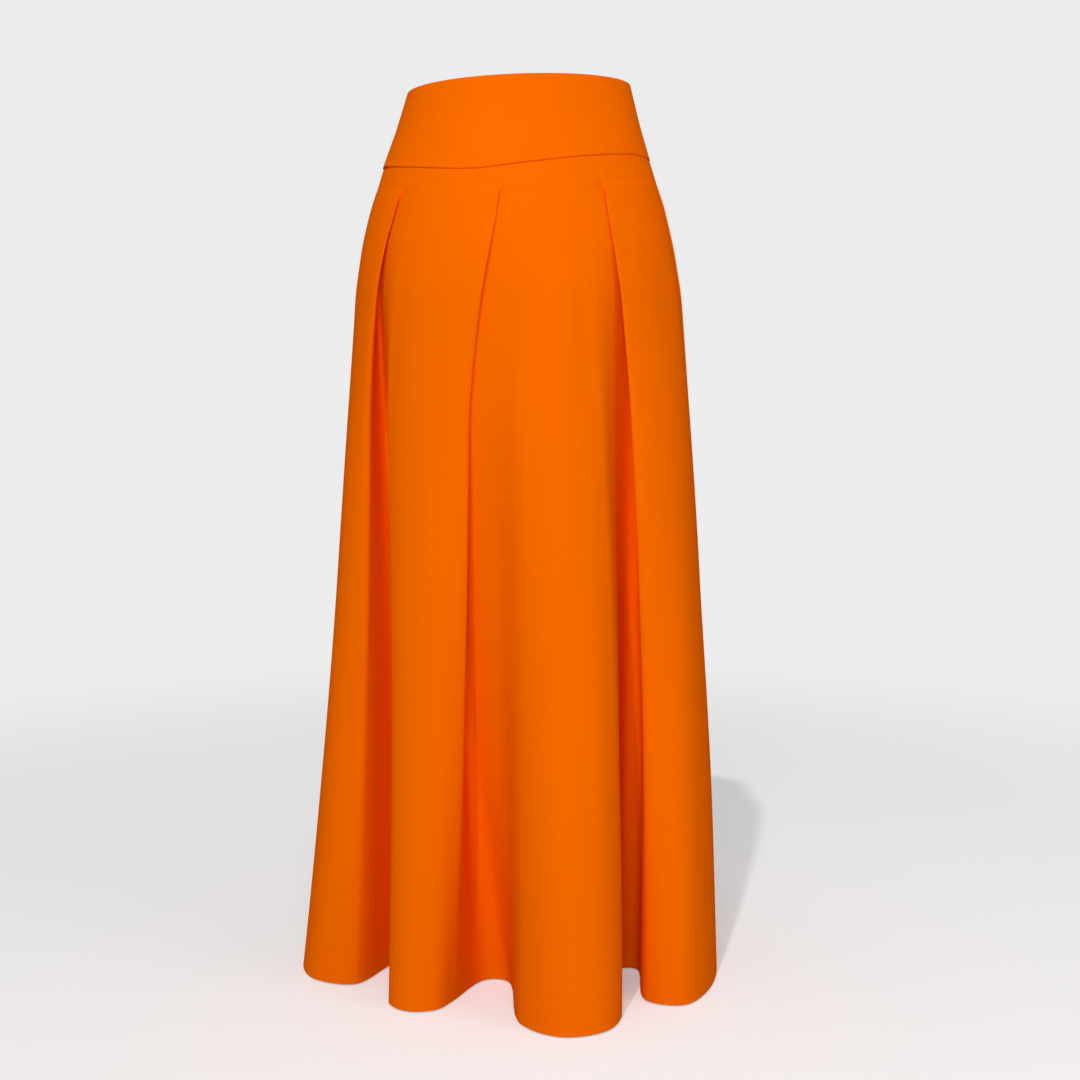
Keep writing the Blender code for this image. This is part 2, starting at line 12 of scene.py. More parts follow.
import bpy
import numpy as np
from bpy.props import FloatProperty, FloatVectorProperty, PointerProperty
from mathutils import Matrix, Vector
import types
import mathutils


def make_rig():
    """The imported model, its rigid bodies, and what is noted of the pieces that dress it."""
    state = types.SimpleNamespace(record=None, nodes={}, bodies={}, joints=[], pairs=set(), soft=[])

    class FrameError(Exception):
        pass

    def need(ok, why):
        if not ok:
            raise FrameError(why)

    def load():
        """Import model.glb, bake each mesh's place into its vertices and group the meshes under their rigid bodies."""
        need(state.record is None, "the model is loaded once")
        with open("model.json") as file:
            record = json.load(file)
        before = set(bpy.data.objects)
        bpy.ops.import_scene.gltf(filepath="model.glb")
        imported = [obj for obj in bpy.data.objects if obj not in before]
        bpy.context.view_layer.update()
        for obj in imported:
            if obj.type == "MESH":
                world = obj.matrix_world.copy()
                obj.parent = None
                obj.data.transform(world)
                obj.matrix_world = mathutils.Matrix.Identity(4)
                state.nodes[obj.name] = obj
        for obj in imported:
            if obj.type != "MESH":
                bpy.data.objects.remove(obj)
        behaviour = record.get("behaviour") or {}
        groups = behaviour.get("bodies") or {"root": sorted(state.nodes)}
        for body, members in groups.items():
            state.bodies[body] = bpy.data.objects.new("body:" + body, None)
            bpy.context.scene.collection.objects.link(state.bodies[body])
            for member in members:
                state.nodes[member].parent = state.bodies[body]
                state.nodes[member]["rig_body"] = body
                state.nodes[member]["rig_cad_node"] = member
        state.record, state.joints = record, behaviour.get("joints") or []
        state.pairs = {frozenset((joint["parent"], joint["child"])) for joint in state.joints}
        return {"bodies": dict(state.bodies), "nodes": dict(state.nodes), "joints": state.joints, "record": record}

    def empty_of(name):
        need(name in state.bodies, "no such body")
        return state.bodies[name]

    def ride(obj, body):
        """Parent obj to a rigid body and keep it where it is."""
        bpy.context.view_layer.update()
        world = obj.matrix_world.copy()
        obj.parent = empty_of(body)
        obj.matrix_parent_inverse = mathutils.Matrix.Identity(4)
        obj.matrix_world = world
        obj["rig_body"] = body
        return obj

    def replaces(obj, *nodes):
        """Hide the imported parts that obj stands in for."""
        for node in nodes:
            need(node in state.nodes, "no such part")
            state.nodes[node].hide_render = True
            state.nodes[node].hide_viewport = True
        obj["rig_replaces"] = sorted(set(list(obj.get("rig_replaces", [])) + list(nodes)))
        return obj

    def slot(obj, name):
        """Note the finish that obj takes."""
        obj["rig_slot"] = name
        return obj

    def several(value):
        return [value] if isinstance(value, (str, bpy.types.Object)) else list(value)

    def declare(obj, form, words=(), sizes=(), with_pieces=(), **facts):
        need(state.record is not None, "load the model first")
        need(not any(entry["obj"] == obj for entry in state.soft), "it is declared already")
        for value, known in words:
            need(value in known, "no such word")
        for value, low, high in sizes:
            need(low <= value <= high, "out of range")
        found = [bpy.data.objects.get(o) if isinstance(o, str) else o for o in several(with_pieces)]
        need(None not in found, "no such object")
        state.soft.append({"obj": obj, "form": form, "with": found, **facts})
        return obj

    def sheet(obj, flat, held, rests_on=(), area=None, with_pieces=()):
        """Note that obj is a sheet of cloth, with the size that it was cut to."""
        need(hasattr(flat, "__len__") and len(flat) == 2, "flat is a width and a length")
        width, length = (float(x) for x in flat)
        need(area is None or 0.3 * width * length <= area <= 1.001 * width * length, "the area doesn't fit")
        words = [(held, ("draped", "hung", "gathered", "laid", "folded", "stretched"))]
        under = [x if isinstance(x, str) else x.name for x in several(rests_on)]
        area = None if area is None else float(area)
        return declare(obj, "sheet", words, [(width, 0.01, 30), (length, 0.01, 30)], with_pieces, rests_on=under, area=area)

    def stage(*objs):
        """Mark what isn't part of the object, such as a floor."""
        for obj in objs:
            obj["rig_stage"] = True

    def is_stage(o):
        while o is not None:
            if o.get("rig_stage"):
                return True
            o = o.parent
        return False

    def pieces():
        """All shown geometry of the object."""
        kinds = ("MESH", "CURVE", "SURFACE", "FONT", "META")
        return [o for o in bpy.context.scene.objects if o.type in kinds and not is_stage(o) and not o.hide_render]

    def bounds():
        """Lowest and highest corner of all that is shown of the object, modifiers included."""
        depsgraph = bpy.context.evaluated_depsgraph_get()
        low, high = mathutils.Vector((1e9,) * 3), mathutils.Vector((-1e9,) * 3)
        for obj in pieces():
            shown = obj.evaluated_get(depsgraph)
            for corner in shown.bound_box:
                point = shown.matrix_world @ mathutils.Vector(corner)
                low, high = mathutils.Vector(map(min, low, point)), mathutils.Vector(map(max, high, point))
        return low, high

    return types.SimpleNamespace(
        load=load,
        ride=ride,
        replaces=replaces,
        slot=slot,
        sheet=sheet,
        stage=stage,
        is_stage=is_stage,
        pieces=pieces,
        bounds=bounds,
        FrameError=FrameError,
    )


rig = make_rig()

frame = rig.load()

bl_info = {
    "name": "Pleated skirt",
    "version": (1, 0, 0),
    "blender": (4, 5, 0),
    "location": "View3D > Sidebar > Skirt",
    "description": "Builds the cloth, the zip and the studio of a pleated skirt",
    "category": "Add Mesh",
}

MM = 0.001
SKIRT = "skirt"  # the body that all but the zip's pull tab rides on
PULL = "pull_tab"

# The cut, as in the solids: sizes in metres unless a line says otherwise
LENGTH = 950 * MM
BAND_CLOTH = 2.0 * MM
BAND_PROUD = 1.0 * MM
WAIST_SLOPE = 0.062
HANG_FROM = 175 * MM
HANG_ROUNDING = 45 * MM
PLEAT_TUCK = 13.0  # mm that the inner fold lies behind the folded edge
SEAM_TO_HIP = 260 * MM
SEAM_TO_HIP_EASE = 1.4
PLEAT_OPEN_AT = 400 * MM
FLOOR_WIDE_AT = 260 * MM
SWAY = 6.5 * MM
VALLEY_FLAT = 0.6
VALLEY_REACH = 1.8
EARLY_ABOVE = 0.3
TIMED_FROM = 170 * MM
TIMED_OVER = 150 * MM
SEAM_HOLD = 60 * MM

# Finer than in the solids, which have a thicker wall: the fold of thin cloth
PLEAT_STACK = 2.3  # mm from the top layer's face to the bottom one's
PLEAT_NOSE = 0.8  # mm, radius of the folded edge
PLEAT_RISE = 8 * MM
FRONT_REACH = 65  # degrees: the pleats nearer the front than this start crisply
SLOW_START = 3.5  # times as slow as theirs, the start of the other pleats
FREE_LATER = 11 * MM  # the thin fold shows later than the solid's
PLEAT_SLIDE = 34 * MM
FLAT_SPREAD = 1.5  # mm of cloth for each step of u where the pleat is sewn flat
PLEAT_OPENING = 4.9  # its growth by PLEAT_OPEN_AT, up to the solid's


def table(names, *rows):
    """Rows with named columns."""
    return [dict(zip(names.split(), row)) for row in rows]


# The body's form in mm: at each depth, its reach to each side, to the front and the back
BODY = table(
    "depth side front back",
    (0, 118.5, 88, 92),
    (40, 130, 97, 103),
    (85, 145, 109, 120),
    (130, 158, 120, 137),
    (175, 167, 128, 148),
    (225, 171, 132, 152),
    (300, 171, 132, 152),
    (950, 171, 132, 152),
)
# The band's lower edge: degrees, and mm below the top edge
BAND_EDGE = table(
    "azimuth depth",
    (-135, 84), (-90, 86), (-60, 93), (-32, 98), (-8, 91), (20, 80.5), (52, 72.5), (90, 71.5),
    (140, 79),
)
# One row for each fold of the hem: (azimuth, radius in mm) along it
LOBES = table(
    "start crest_a crest_b end",
    ((-121, 214), (-105, 242), (-92, 233), (-83.5, 192)),
    ((-64, 182), (-55, 183), (-47.5, 164), (-46.6, 137)),
    ((-15.5, 172), (-4, 207), (9, 208), (17.5, 188)),
    ((33, 176), (38, 213), (57, 219), (78, 212)),
    ((89, 226), (98, 232), (108, 232), (116, 211)),
    ((123, 207), (131, 226), (142, 228), (150, 204)),
    ((160, 172), (168, 214), (187, 219), (197, 190)),
    ((211, 188), (217, 226), (226, 228), (231, 205)),
)
# One row for each pleat, as in the solids
PLEATS = table(
    "seam hip free over shoulder valley width deeper floor early",
    (-60, -77.5, 9, +1, 27, (-98, 132), 16, 5, 12, 0.3),
    (-16.5, -29.5, 9, +1, 38, (-38.5, 68), 24, 30, 8, -0.7),
    (21, 24.5, 14, -1, 32, (59, 122), 18, 5, 12, 0.3),
    (70, 82, 10, -1, 20, (90, 150), 12, 0, 4, 0.3),
    (110, 107, 10, +1, 18, (118, 143), 14, 0, 4, 0.3),
    (160, 152, 10, +1, 26, (152, 117), 16, 4, 8, 0.3),
    (200, 208, 10, -1, 24, (207, 117), 16, 4, 6, 0.3),
    (246, 253, 10, -1, 22, (243, 143), 14, 4, 6, 0.3),
)
STEPS_PER_LOBE = 6
VALLEY_STEP = 4.5
TURNS = STEPS_PER_LOBE * len(LOBES)
RIGHT_SEAM = 1.5
LEFT_SEAM = RIGHT_SEAM + TURNS / 2
NEAR_SEAM = np.linspace(-1.4, 1.4, 57)  # steps of u on both sides of a side seam

# Soft creases of the panels: the middle's u and depth (m), half the width in steps of u,
# half the length in m, and the height in mm
PANEL_CREASES = table(
    "u depth wide long height",
    (6.7, 0.26, 0.30, 0.12, 0.9),
    (7.8, 0.55, 0.50, 0.30, 1.0),
    (7.2, 0.45, 0.30, 0.22, -0.8),
    (12.1, 0.22, 0.22, 0.09, 0.8),
    (12.6, 0.30, 0.25, 0.14, -0.6),
    (14.0, 0.26, 0.35, 0.14, 0.9),
    (13.6, 0.62, 0.45, 0.30, 1.1),
    (11.4, 0.66, 0.20, 0.12, -1.2),
    (19.5, 0.22, 0.45, 0.08, -2.0),
    (19.2, 0.60, 0.40, 0.25, 1.2),
    (20.3, 0.50, 0.50, 0.30, -1.5),
    (2.4, 0.40, 0.40, 0.25, 1.0),
    (1.0, 0.60, 0.40, 0.30, -1.0),
    (26.4, 0.35, 0.35, 0.18, 1.0),
    (31.6, 0.30, 0.30, 0.15, -1.1),
    (32.6, 0.55, 0.40, 0.28, 1.2),
    (37.2, 0.24, 0.30, 0.12, 0.9),
    (38.4, 0.50, 0.45, 0.30, -1.2),
    (43.5, 0.33, 0.35, 0.18, 1.0),
    (44.3, 0.60, 0.40, 0.28, -1.1),
)
# The cloth's slight waves: height in mm, their count round the skirt, lean and start
WAVES = table(
    "height count lean start",
    (0.30, 11, 5.0, 1.1), (0.22, 23, -7.0, 0.4), (0.16, 37, 9.0, 2.3), (0.18, 5, 17.0, 0.9),
)
# Soft creases of the band, from one (azimuth, share of the band's depth) to another, with
# half their width and their height in mm
BAND_CREASES = table(
    "start end wide height",
    ((27, 0.02), (63, 0.36), 3.0, -0.9),
    ((30, 0.14), (60, 0.50), 6.0, 0.7),
    ((-16, 0.885), (30, 0.885), 1.1, 0.20),
    ((-60, 0.93), (-30, 0.93), 1.2, 0.12),
    ((110, 0.30), (135, 0.55), 4.0, -0.6),
    ((205, 0.50), (228, 0.22), 4.5, -0.6),
    ((250, 0.25), (268, 0.60), 3.5, -0.5),
)
BAND_RADIUS = 0.13  # m, a mean one, for lengths round the band
BAND_LIP = dict(azimuth=-84, wide=14, height=1.3)  # degrees and mm: its edge turns out here

# Seams and hem
HEM_LAYERS = 2.2  # times the cloth's thickness, where it is turned up
HEM_ROWS = (0.9835, 0.9838, 0.99, 0.996, 1.0)  # the last rows, as shares of the way down
SEAM_SPREAD = 0.045  # steps of u that have closer columns beside a side seam
SEAM_DIP = 0.5 * MM  # the panels' top edge dips in this far, under the band's
SEAM_DIP_OVER = 2.5 * MM
PANEL_GAP = 0.06 * MM  # half the groove between two panels
BAND_GAP = 0.05 * MM  # half the gap between the band's ends
BAND_GROOVE = 0.5 * MM  # their outer faces turn in this far
ALLOWANCE_INSET = 0.25 * MM  # from a panel's inner face
EDGE_GAP, FOLD_GAP, WIDE_GAP = 0.05, 0.09, 0.16  # steps of u between two columns

# Zip, as in the solids
ZIP_FROM = 4 * MM
ZIP_TO = 170 * MM
TAPE_WIDTH = 11 * MM
TAPE = 0.6 * MM
TAPES_APART = 2.6 * MM
TAPE_GAP = 0.8 * MM
SLIDER_DEPTH = 10 * MM
SLOT = 2.2 * MM  # the side seam is this wide open for the slider's neck
SLOT_LENGTH = 9 * MM
SOLID_CLOTH = 1.0 * MM  # the solids' wall, behind which the zip lies
COIL_PITCH = 1.3 * MM
COIL_WIDTH = 1.9 * MM
COIL_HEIGHT = 1.1 * MM
COIL_OFF = 0.55 * MM  # from the zip's middle to the middle of each row of turns
METAL_ROUNDING = 0.35 * MM

# Stitching
STITCH_PITCH = 3.0 * MM
STITCH_LENGTH = 2.1 * MM
THREAD = 0.16 * MM  # half its thickness
STITCH_SIDES = 6

# What shows of each cut, laid flat, in metres and square metres
PANEL_CUT = {
    "front_panel": dict(flat=(1.35, 0.88), area=0.80),
    "back_panel": dict(flat=(1.20, 0.88), area=0.73),
}
BAND_CUT = {
    "front_band": dict(flat=(0.42, 0.10), area=0.033),
    "back_band": dict(flat=(0.42, 0.09), area=0.033),
}

# Studio
FLOOR_GAP = 1.5 * MM
FLOOR_COLOUR = (0.7, 0.7, 0.7, 1)
FLOOR_BOUNCE = (0.3, 0.3, 0.3, 1)  # its colour for light that it sends up to the cloth
FLOOR_GLOW = 0.29  # the paper's own light, near the skirt
FAR_COLOUR = (0.05, 0.05, 0.05, 1)
FAR_GLOW = 0.81  # and far from it, where no light's fall-off may show
FAR_FROM, FAR_TO = 0.85, 2.0  # m from the skirt's foot
GLOW_SPILL = 0.3  # share of that light that reaches the cloth
FLOOR_HALF = 6.0  # m, also the backdrop's height
BEND_FROM, BEND_RADIUS = 2.6, 1.6  # m, where the floor curves up
LIGHTS_AIM = (0, 0, -0.45)
SIDE_LIGHT_WAY = (-0.244, -0.70, 0.95)  # from the skirt towards the light

# The weave's inputs and outputs, and what each woven finish has for its inputs, with its sheen
WEAVE_SOCKETS = {
    "INPUT": ("Vector", "Colour", "Threads per metre", "Thread height", "Slub", "Crumple",
              "Roughness"),
    "OUTPUT": ("Colour", "Roughness", "Normal"),
}
SOCKET_KINDS = {"Vector": "Vector", "Normal": "Vector", "Colour": "Color"}  # else a number
WEAVES = {
    "orange crepe": dict(inputs=(2400, 0.25, 0.05, 0.16, 0.56), sheen=0.0),
    "sewing thread": dict(inputs=(3000, 0.3, 0.1, 0.0, 0.6), sheen=0.1),
    "zip tape": dict(inputs=(1600, 0.6, 0.12, 0.0, 0.75), sheen=0.1),
}


# ---- the form

def column(rows, key):
    return np.array([row[key] for row in rows], float)


def smooth_step(x):
    x = np.clip(x, 0.0, 1.0)
    return x * x * (3 - 2 * x)


def unit(way):
    return way / np.linalg.norm(way, axis=-1, keepdims=True)


def through(knots, values, x):
    """A smooth curve through the values that never swings past them."""
    width = np.diff(knots)
    slope = np.diff(values) / width
    turn = np.concatenate([[slope[0]], np.zeros(len(knots) - 2), [slope[-1]]])
    a, b = 2 * width[1:] + width[:-1], width[1:] + 2 * width[:-1]
    runs_on = slope[:-1] * slope[1:] > 0
    before, after = (np.where(runs_on, side, 1.0) for side in (slope[:-1], slope[1:]))
    turn[1:-1] = np.where(runs_on, (a + b) / (a / before + b / after), 0.0)
    i = np.clip(np.searchsorted(knots, x, side="right") - 1, 0, len(width) - 1)
    f = (x - knots[i]) / width[i]
    start, end = values[i], values[i + 1]
    return (
        (1 + 2 * f) * (1 - f) ** 2 * start
        + f * (1 - f) ** 2 * width[i] * turn[i]
        + f * f * (3 - 2 * f) * end
        - f * f * (1 - f) * width[i] * turn[i + 1]
    )


def body_ring(azimuth, depth, lift):
    """Points of the body's form: lift is how far they stand off it."""
    turn = np.radians(azimuth)
    side, front, back = (through(column(BODY, "depth") * MM, column(BODY, key) * MM, depth)
                         for key in ("side", "front", "back"))
    reach = np.where(np.cos(turn) > 0, front, back)
    return np.stack([(side + lift) * np.sin(turn), -(reach + lift) * np.cos(turn)], axis=-1)


def band_edge_depth(azimuth):
    places, depths = column(BAND_EDGE, "azimuth"), column(BAND_EDGE, "depth") * MM
    places = np.concatenate([places - 360, places, places + 360])
    turn = (np.asarray(azimuth, float) + 180) % 360 - 180
    return through(places, np.tile(depths, 3), turn)


MEAN_EDGE = float(np.mean(column(BAND_EDGE, "depth"))) * MM
SIDE_EDGE = float(band_edge_depth(90.0))  # at the side seam that holds the zip


def polar(azimuth, radius):
    turn = np.radians(azimuth)
    return np.stack([radius * np.sin(turn), -radius * np.cos(turn)], axis=-1)


def hem_controls():
    """The hem's control points in order round it, six for each lobe."""
    points = []
    for index, (lobe, pleat) in enumerate(zip(LOBES, PLEATS)):
        lobe_points = [polar(*lobe[key]) for key in ("start", "crest_a", "crest_b", "end")]
        next_start = polar(*LOBES[(index + 1) % len(LOBES)]["start"])
        valley = polar(*pleat["valley"])
        inward = valley - (lobe_points[-1] + next_start) / 2
        half = unit(np.array([inward[1], -inward[0]])) * pleat["width"] / 2
        points += lobe_points + [valley - half, valley + half]
    return np.array(points) * MM


def hem_curve(u):
    """The hem seen from above, a closed Catmull-Rom curve spaced by the root of the chords."""
    points = hem_controls()
    first = np.floor(u).astype(int)
    p = [points[(first + k) % TURNS] for k in (-1, 0, 1, 2)]
    gap = [np.sqrt(np.linalg.norm(p[k + 1] - p[k], axis=-1, keepdims=True)) for k in range(3)]
    t = np.cumsum([0 * gap[0], *gap], axis=0)
    x = t[1] + (u - first)[:, None] * gap[1]

    def mix(a, b, ta, tb):
        return (tb - x) / (tb - ta) * a + (x - ta) / (tb - ta) * b

    a1, a2, a3 = (mix(p[k], p[k + 1], t[k], t[k + 1]) for k in range(3))
    b1, b2 = mix(a1, a2, t[0], t[2]), mix(a2, a3, t[1], t[3])
    return mix(b1, b2, t[1], t[2])


def pleat_knots(index, below_seam):
    """(u, azimuth, lift) knots of one pleat at this distance below the band's edge."""
    pleat = PLEATS[index]
    free = below_seam - pleat["free"] * MM - FREE_LATER
    rise = PLEAT_RISE * (1 if abs(pleat["seam"]) < FRONT_REACH else SLOW_START)
    lifted = smooth_step(free / rise)
    slid = smooth_step((free - rise / 2) / (PLEAT_SLIDE * rise / PLEAT_RISE))
    opening = 1 + PLEAT_OPENING * smooth_step(free / PLEAT_OPEN_AT)
    top, nose = PLEAT_STACK / 2 * opening, PLEAT_NOSE * opening
    middle, bottom = top - 2 * nose, -top
    tuck = PLEAT_TUCK + pleat["deeper"] * smooth_step(free / PLEAT_OPEN_AT)
    floor = pleat["floor"] * smooth_step(free / FLOOR_WIDE_AT)
    rows = np.array([
        (-1.70, -1.5 * nose, top),
        (-1.50, 0.0, top - nose),
        (-1.30, -1.5 * nose, middle),
        (-0.50, 1.2 * nose - tuck, middle),
        (0.00, -tuck, (middle + bottom) / 2),
        (0.50, 1.2 * nose - tuck, bottom),
        (1.00, nose + floor, bottom),
        (1.50, pleat["shoulder"], 0.0),
    ])
    flat = rows[:, 0] * FLAT_SPREAD
    across = flat + (rows[:, 1] - flat) * slid
    across[-1] = pleat["shoulder"]
    lift = rows[:, 2] * lifted
    step, side = rows[:, 0], pleat["over"]
    if side < 0:
        step, across, lift = -step[::-1], -across[::-1], lift[::-1]
    moved = 1 - (1 - min(below_seam / SEAM_TO_HIP, 1)) ** SEAM_TO_HIP_EASE
    azimuth = pleat["seam"] + (pleat["hip"] - pleat["seam"]) * moved
    mm_per_degree = math.pi / 180 * float(np.mean(column(BODY, "side")[2:5]))
    u = STEPS_PER_LOBE * index + VALLEY_STEP + step
    return np.stack([u, azimuth + across / mm_per_degree, lift * MM], axis=-1)


def ring_knots(row):
    """Knots of a whole turn at this share of the way down, with one more turn on each side."""
    pleats = [
        pleat_knots(index, row * (LENGTH - band_edge_depth(np.array(pleat["seam"]))))
        for index, pleat in enumerate(PLEATS)
    ]
    knots = []
    for index, after in enumerate(pleats):
        start = pleats[index - 1][-1] - ((TURNS, 360, 0) if index == 0 else 0)
        for step in (1, 2):
            between = start + (after[0] - start) * (step / 3)
            knots.append((STEPS_PER_LOBE * index + step, *between[1:]))
        knots += [tuple(knot) for knot in after]
    turn = np.array(knots)
    return np.concatenate([turn + (k * TURNS, k * 360, 0) for k in (-1, 0, 1)])


def hang(depth):
    """Share of the way from the hips' form to the hem's, for the distance from the middle."""
    x = (depth - HANG_FROM) / (LENGTH - HANG_FROM)
    soft = HANG_ROUNDING / LENGTH
    ramp = (x + np.sqrt(x * x + soft * soft)) / 2
    return ramp / ((1 + math.sqrt(1 + soft * soft)) / 2)


def panel_row(row, u):
    """Outer points of the two panels at one share of the way from the band to the hem."""
    knots = ring_knots(row)
    azimuth = through(knots[:, 0], knots[:, 1], u)
    lift = through(knots[:, 0], knots[:, 2], u)
    edge = band_edge_depth(azimuth)
    depth = edge + row * (LENGTH - edge)
    near = body_ring(azimuth, depth, lift)
    far = hem_curve(u)
    half = STEPS_PER_LOBE / 2
    from_valley = abs((u - VALLEY_STEP + half) % STEPS_PER_LOBE - half)
    in_valley = 1 - smooth_step((from_valley - VALLEY_FLAT) / (VALLEY_REACH - VALLEY_FLAT))
    nearest = np.floor((u - VALLEY_STEP + half) / STEPS_PER_LOBE).astype(int) % len(PLEATS)
    low = smooth_step((depth - TIMED_FROM) / TIMED_OVER)
    early = EARLY_ABOVE + (column(PLEATS, "early")[nearest] - EARLY_ABOVE) * low
    share = hang(depth) ** (1 - early * in_valley)
    share = share * smooth_step((depth - edge) / SEAM_HOLD)
    place = near + (far - near) * share[:, None]
    place[:, 0] += 4 * SWAY * hang(depth) * (1 - hang(depth))
    return np.column_stack([place, -depth])


def band_points(azimuth, share, lift):
    """Points of the band: share runs from 0 at its top edge to 1 at its lower one."""
    edge = band_edge_depth(azimuth)
    place = body_ring(azimuth, share * edge, lift)
    rise = WAIST_SLOPE * body_ring(azimuth, np.zeros_like(azimuth), 0.0)[..., 0]
    return np.column_stack([place, rise * (1 - share) - share * edge])


def normals_of(grid, ring=True):
    """Unit normals, pointing out, of a grid of points whose rows may be closed rings."""
    if ring:
        along = np.roll(grid, -1, axis=1) - np.roll(grid, 1, axis=1)
    else:
        along = np.gradient(grid, axis=1)
    normal = np.cross(np.gradient(grid, axis=0), along)
    return normal / np.maximum(np.linalg.norm(normal, axis=-1, keepdims=True), 1e-12)


# ---- relief

def bump(x):
    """A soft round hill of height 1 that has ended by x = 1 on each side."""
    return (1 - np.clip(abs(x), 0, 1) ** 2) ** 2


def soft_waves(u, depth):
    """The cloth's own slight unevenness, in mm, for rows of u and depths."""
    turn = u * 2 * math.pi / TURNS
    waves = (row["height"] * np.sin(row["count"] * turn + row["lean"] * depth + row["start"])
             for row in WAVES)
    return sum(waves) * smooth_step((depth - 0.11) / 0.12)


def panel_relief(u, depth, strength):
    """How far the panels stand off their form, in metres."""
    height = soft_waves(u, depth)
    for crease in PANEL_CREASES:
        across = (u - crease["u"] + TURNS / 2) % TURNS - TURNS / 2
        along = (depth - crease["depth"]) / crease["long"]
        height = height + crease["height"] * bump(across / crease["wide"] / 2) * bump(along)
    return height * strength * MM


def band_relief(azimuth, share, strength):
    """How far the band's outer face stands off its form, in metres."""
    x = np.radians((azimuth + 90) % 360 - 90) * BAND_RADIUS
    y = share * band_edge_depth(azimuth)
    height = 0.14 * np.sin(azimuth / 7.0 + 3 * share) * np.sin(math.pi * np.clip(share, 0, 1))
    for crease in BAND_CREASES:
        (a, s), (b, t) = crease["start"], crease["end"]
        depth = float(np.mean(band_edge_depth(np.array([a, b], float))))
        start = np.array([math.radians(a) * BAND_RADIUS, s * depth])
        way = np.array([math.radians(b) * BAND_RADIUS, t * depth]) - start
        span = float(np.linalg.norm(way))
        along = ((x - start[0]) * way[0] + (y - start[1]) * way[1]) / span ** 2
        off = abs((x - start[0]) * way[1] - (y - start[1]) * way[0]) / span
        ends = smooth_step(along / 0.3) * smooth_step((1 - along) / 0.3)
        height = height + crease["height"] * bump(off / MM / crease["wide"] / 2) * ends
    near = bump(((azimuth - BAND_LIP["azimuth"] + 180) % 360 - 180) / BAND_LIP["wide"])
    height = height + BAND_LIP["height"] * near * smooth_step((share - 0.90) / 0.10)
    return height * strength * MM


def panel_surface(shares, u, strength, ring=True):
    """Points, unit normals and relief of the panels' outer face, a row for each share."""
    grid = np.stack([panel_row(share, u) for share in shares])
    return grid, normals_of(grid, ring), panel_relief(u[None, :], -grid[..., 2], strength)


# ---- meshes

def arc_lengths(points):
    """Distances from the first point of a path, or of each row of a grid."""
    step = np.linalg.norm(np.diff(points, axis=-2), axis=-1)
    return np.concatenate([np.zeros((*step.shape[:-1], 1)), np.cumsum(step, axis=-1)], axis=-1)


def at_distance(distance, arc, points):
    """What the points of a path come to at this distance along it."""
    return np.stack([np.interp(distance, arc, points[:, axis]) for axis in range(3)], axis=-1)


def add_object(name, data):
    made = bpy.data.objects.new(name, data)
    bpy.context.scene.collection.objects.link(made)
    return made


def edit_mesh(piece, *steps):
    """Takes these steps, operators with their options, on the whole of a piece's mesh."""
    for thing in bpy.context.scene.objects:
        thing.select_set(thing == piece)
    bpy.context.view_layer.objects.active = piece
    bpy.ops.object.mode_set(mode="EDIT")
    bpy.ops.mesh.select_all(action="SELECT")
    for step, options in steps:
        step(**options)
    bpy.ops.object.mode_set(mode="OBJECT")


def new_piece(name, points, faces, finish, uv=None, sharp=80.0):
    """A mesh object at the origin, shaded smooth, which rides on the skirt."""
    mesh = bpy.data.meshes.new(name)
    mesh.from_pydata(np.asarray(points).tolist(), [], faces)
    mesh.materials.append(finish)
    mesh.validate()
    mesh.shade_smooth()
    mesh.set_sharp_from_angle(angle=math.radians(sharp))
    if uv is not None:
        layer = mesh.uv_layers.new(name="UVMap")
        corners = np.empty(len(mesh.loops), np.int32)
        mesh.loops.foreach_get("vertex_index", corners)
        layer.data.foreach_set("uv", np.asarray(uv, np.float32)[corners].ravel())
    made = add_object(name, mesh)
    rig.ride(made, SKIRT)
    return made


def quads_of(index):
    """The faces between the neighbours in a grid of vertex numbers."""
    corners = index[:-1, :-1], index[1:, :-1], index[1:, 1:], index[:-1, 1:]
    return np.stack(corners, axis=-1).reshape(-1, 4)


def wall_piece(name, outer, inner, uv, finish):
    """A closed sheet between two grids of points, with its UV in metres of cloth."""
    index = np.arange(outer[..., 0].size).reshape(outer.shape[:2])
    back = index.size
    rim = np.concatenate([index[0, :-1], index[:-1, -1], index[-1, :0:-1], index[:0:-1, 0]])
    following = np.roll(rim, -1)
    edge = np.stack([rim, following, back + following, back + rim], axis=-1)
    faces = np.concatenate([quads_of(index), quads_of(back + index)[:, ::-1], edge])
    points = np.concatenate([outer.reshape(-1, 3), inner.reshape(-1, 3)])
    return new_piece(name, points, faces.tolist(), finish, np.tile(uv.reshape(-1, 2), (2, 1)))


def cloth_uv(grid):
    """UV in metres: across by the arc length of a row low down, down by each point's height."""
    across = arc_lengths(grid[len(grid) * 2 // 3])
    return np.stack(np.broadcast_arrays(across, grid[..., 2]), axis=-1)


def panel_rows():
    """Rows of the panels, as distances below the seam in metres: close under the band."""
    spans = ((1, 36, 1.25), (37.5, 110, 3.5), (112, 330, 6), (336, 846, 8.5))
    return np.concatenate([[-6, -3, -1.2, 0], *(np.arange(*span) for span in spans)]) * MM


def lobe_columns(over_this, over_last):
    """Steps of u over one lobe, close together at the folded edges beside it."""
    steps = [0.0]
    while steps[-1] < STEPS_PER_LOBE - 1e-6:
        at = steps[-1]
        gap = FOLD_GAP if 3.9 <= at < 5.1 else WIDE_GAP
        if (2.6 <= at < 3.4 and over_this > 0) or (at >= 5.6 and over_this < 0):
            gap = EDGE_GAP
        if at < 0.4 and over_last < 0:
            gap = EDGE_GAP
        steps.append(min(at + gap, STEPS_PER_LOBE))
    return np.array(steps[:-1])


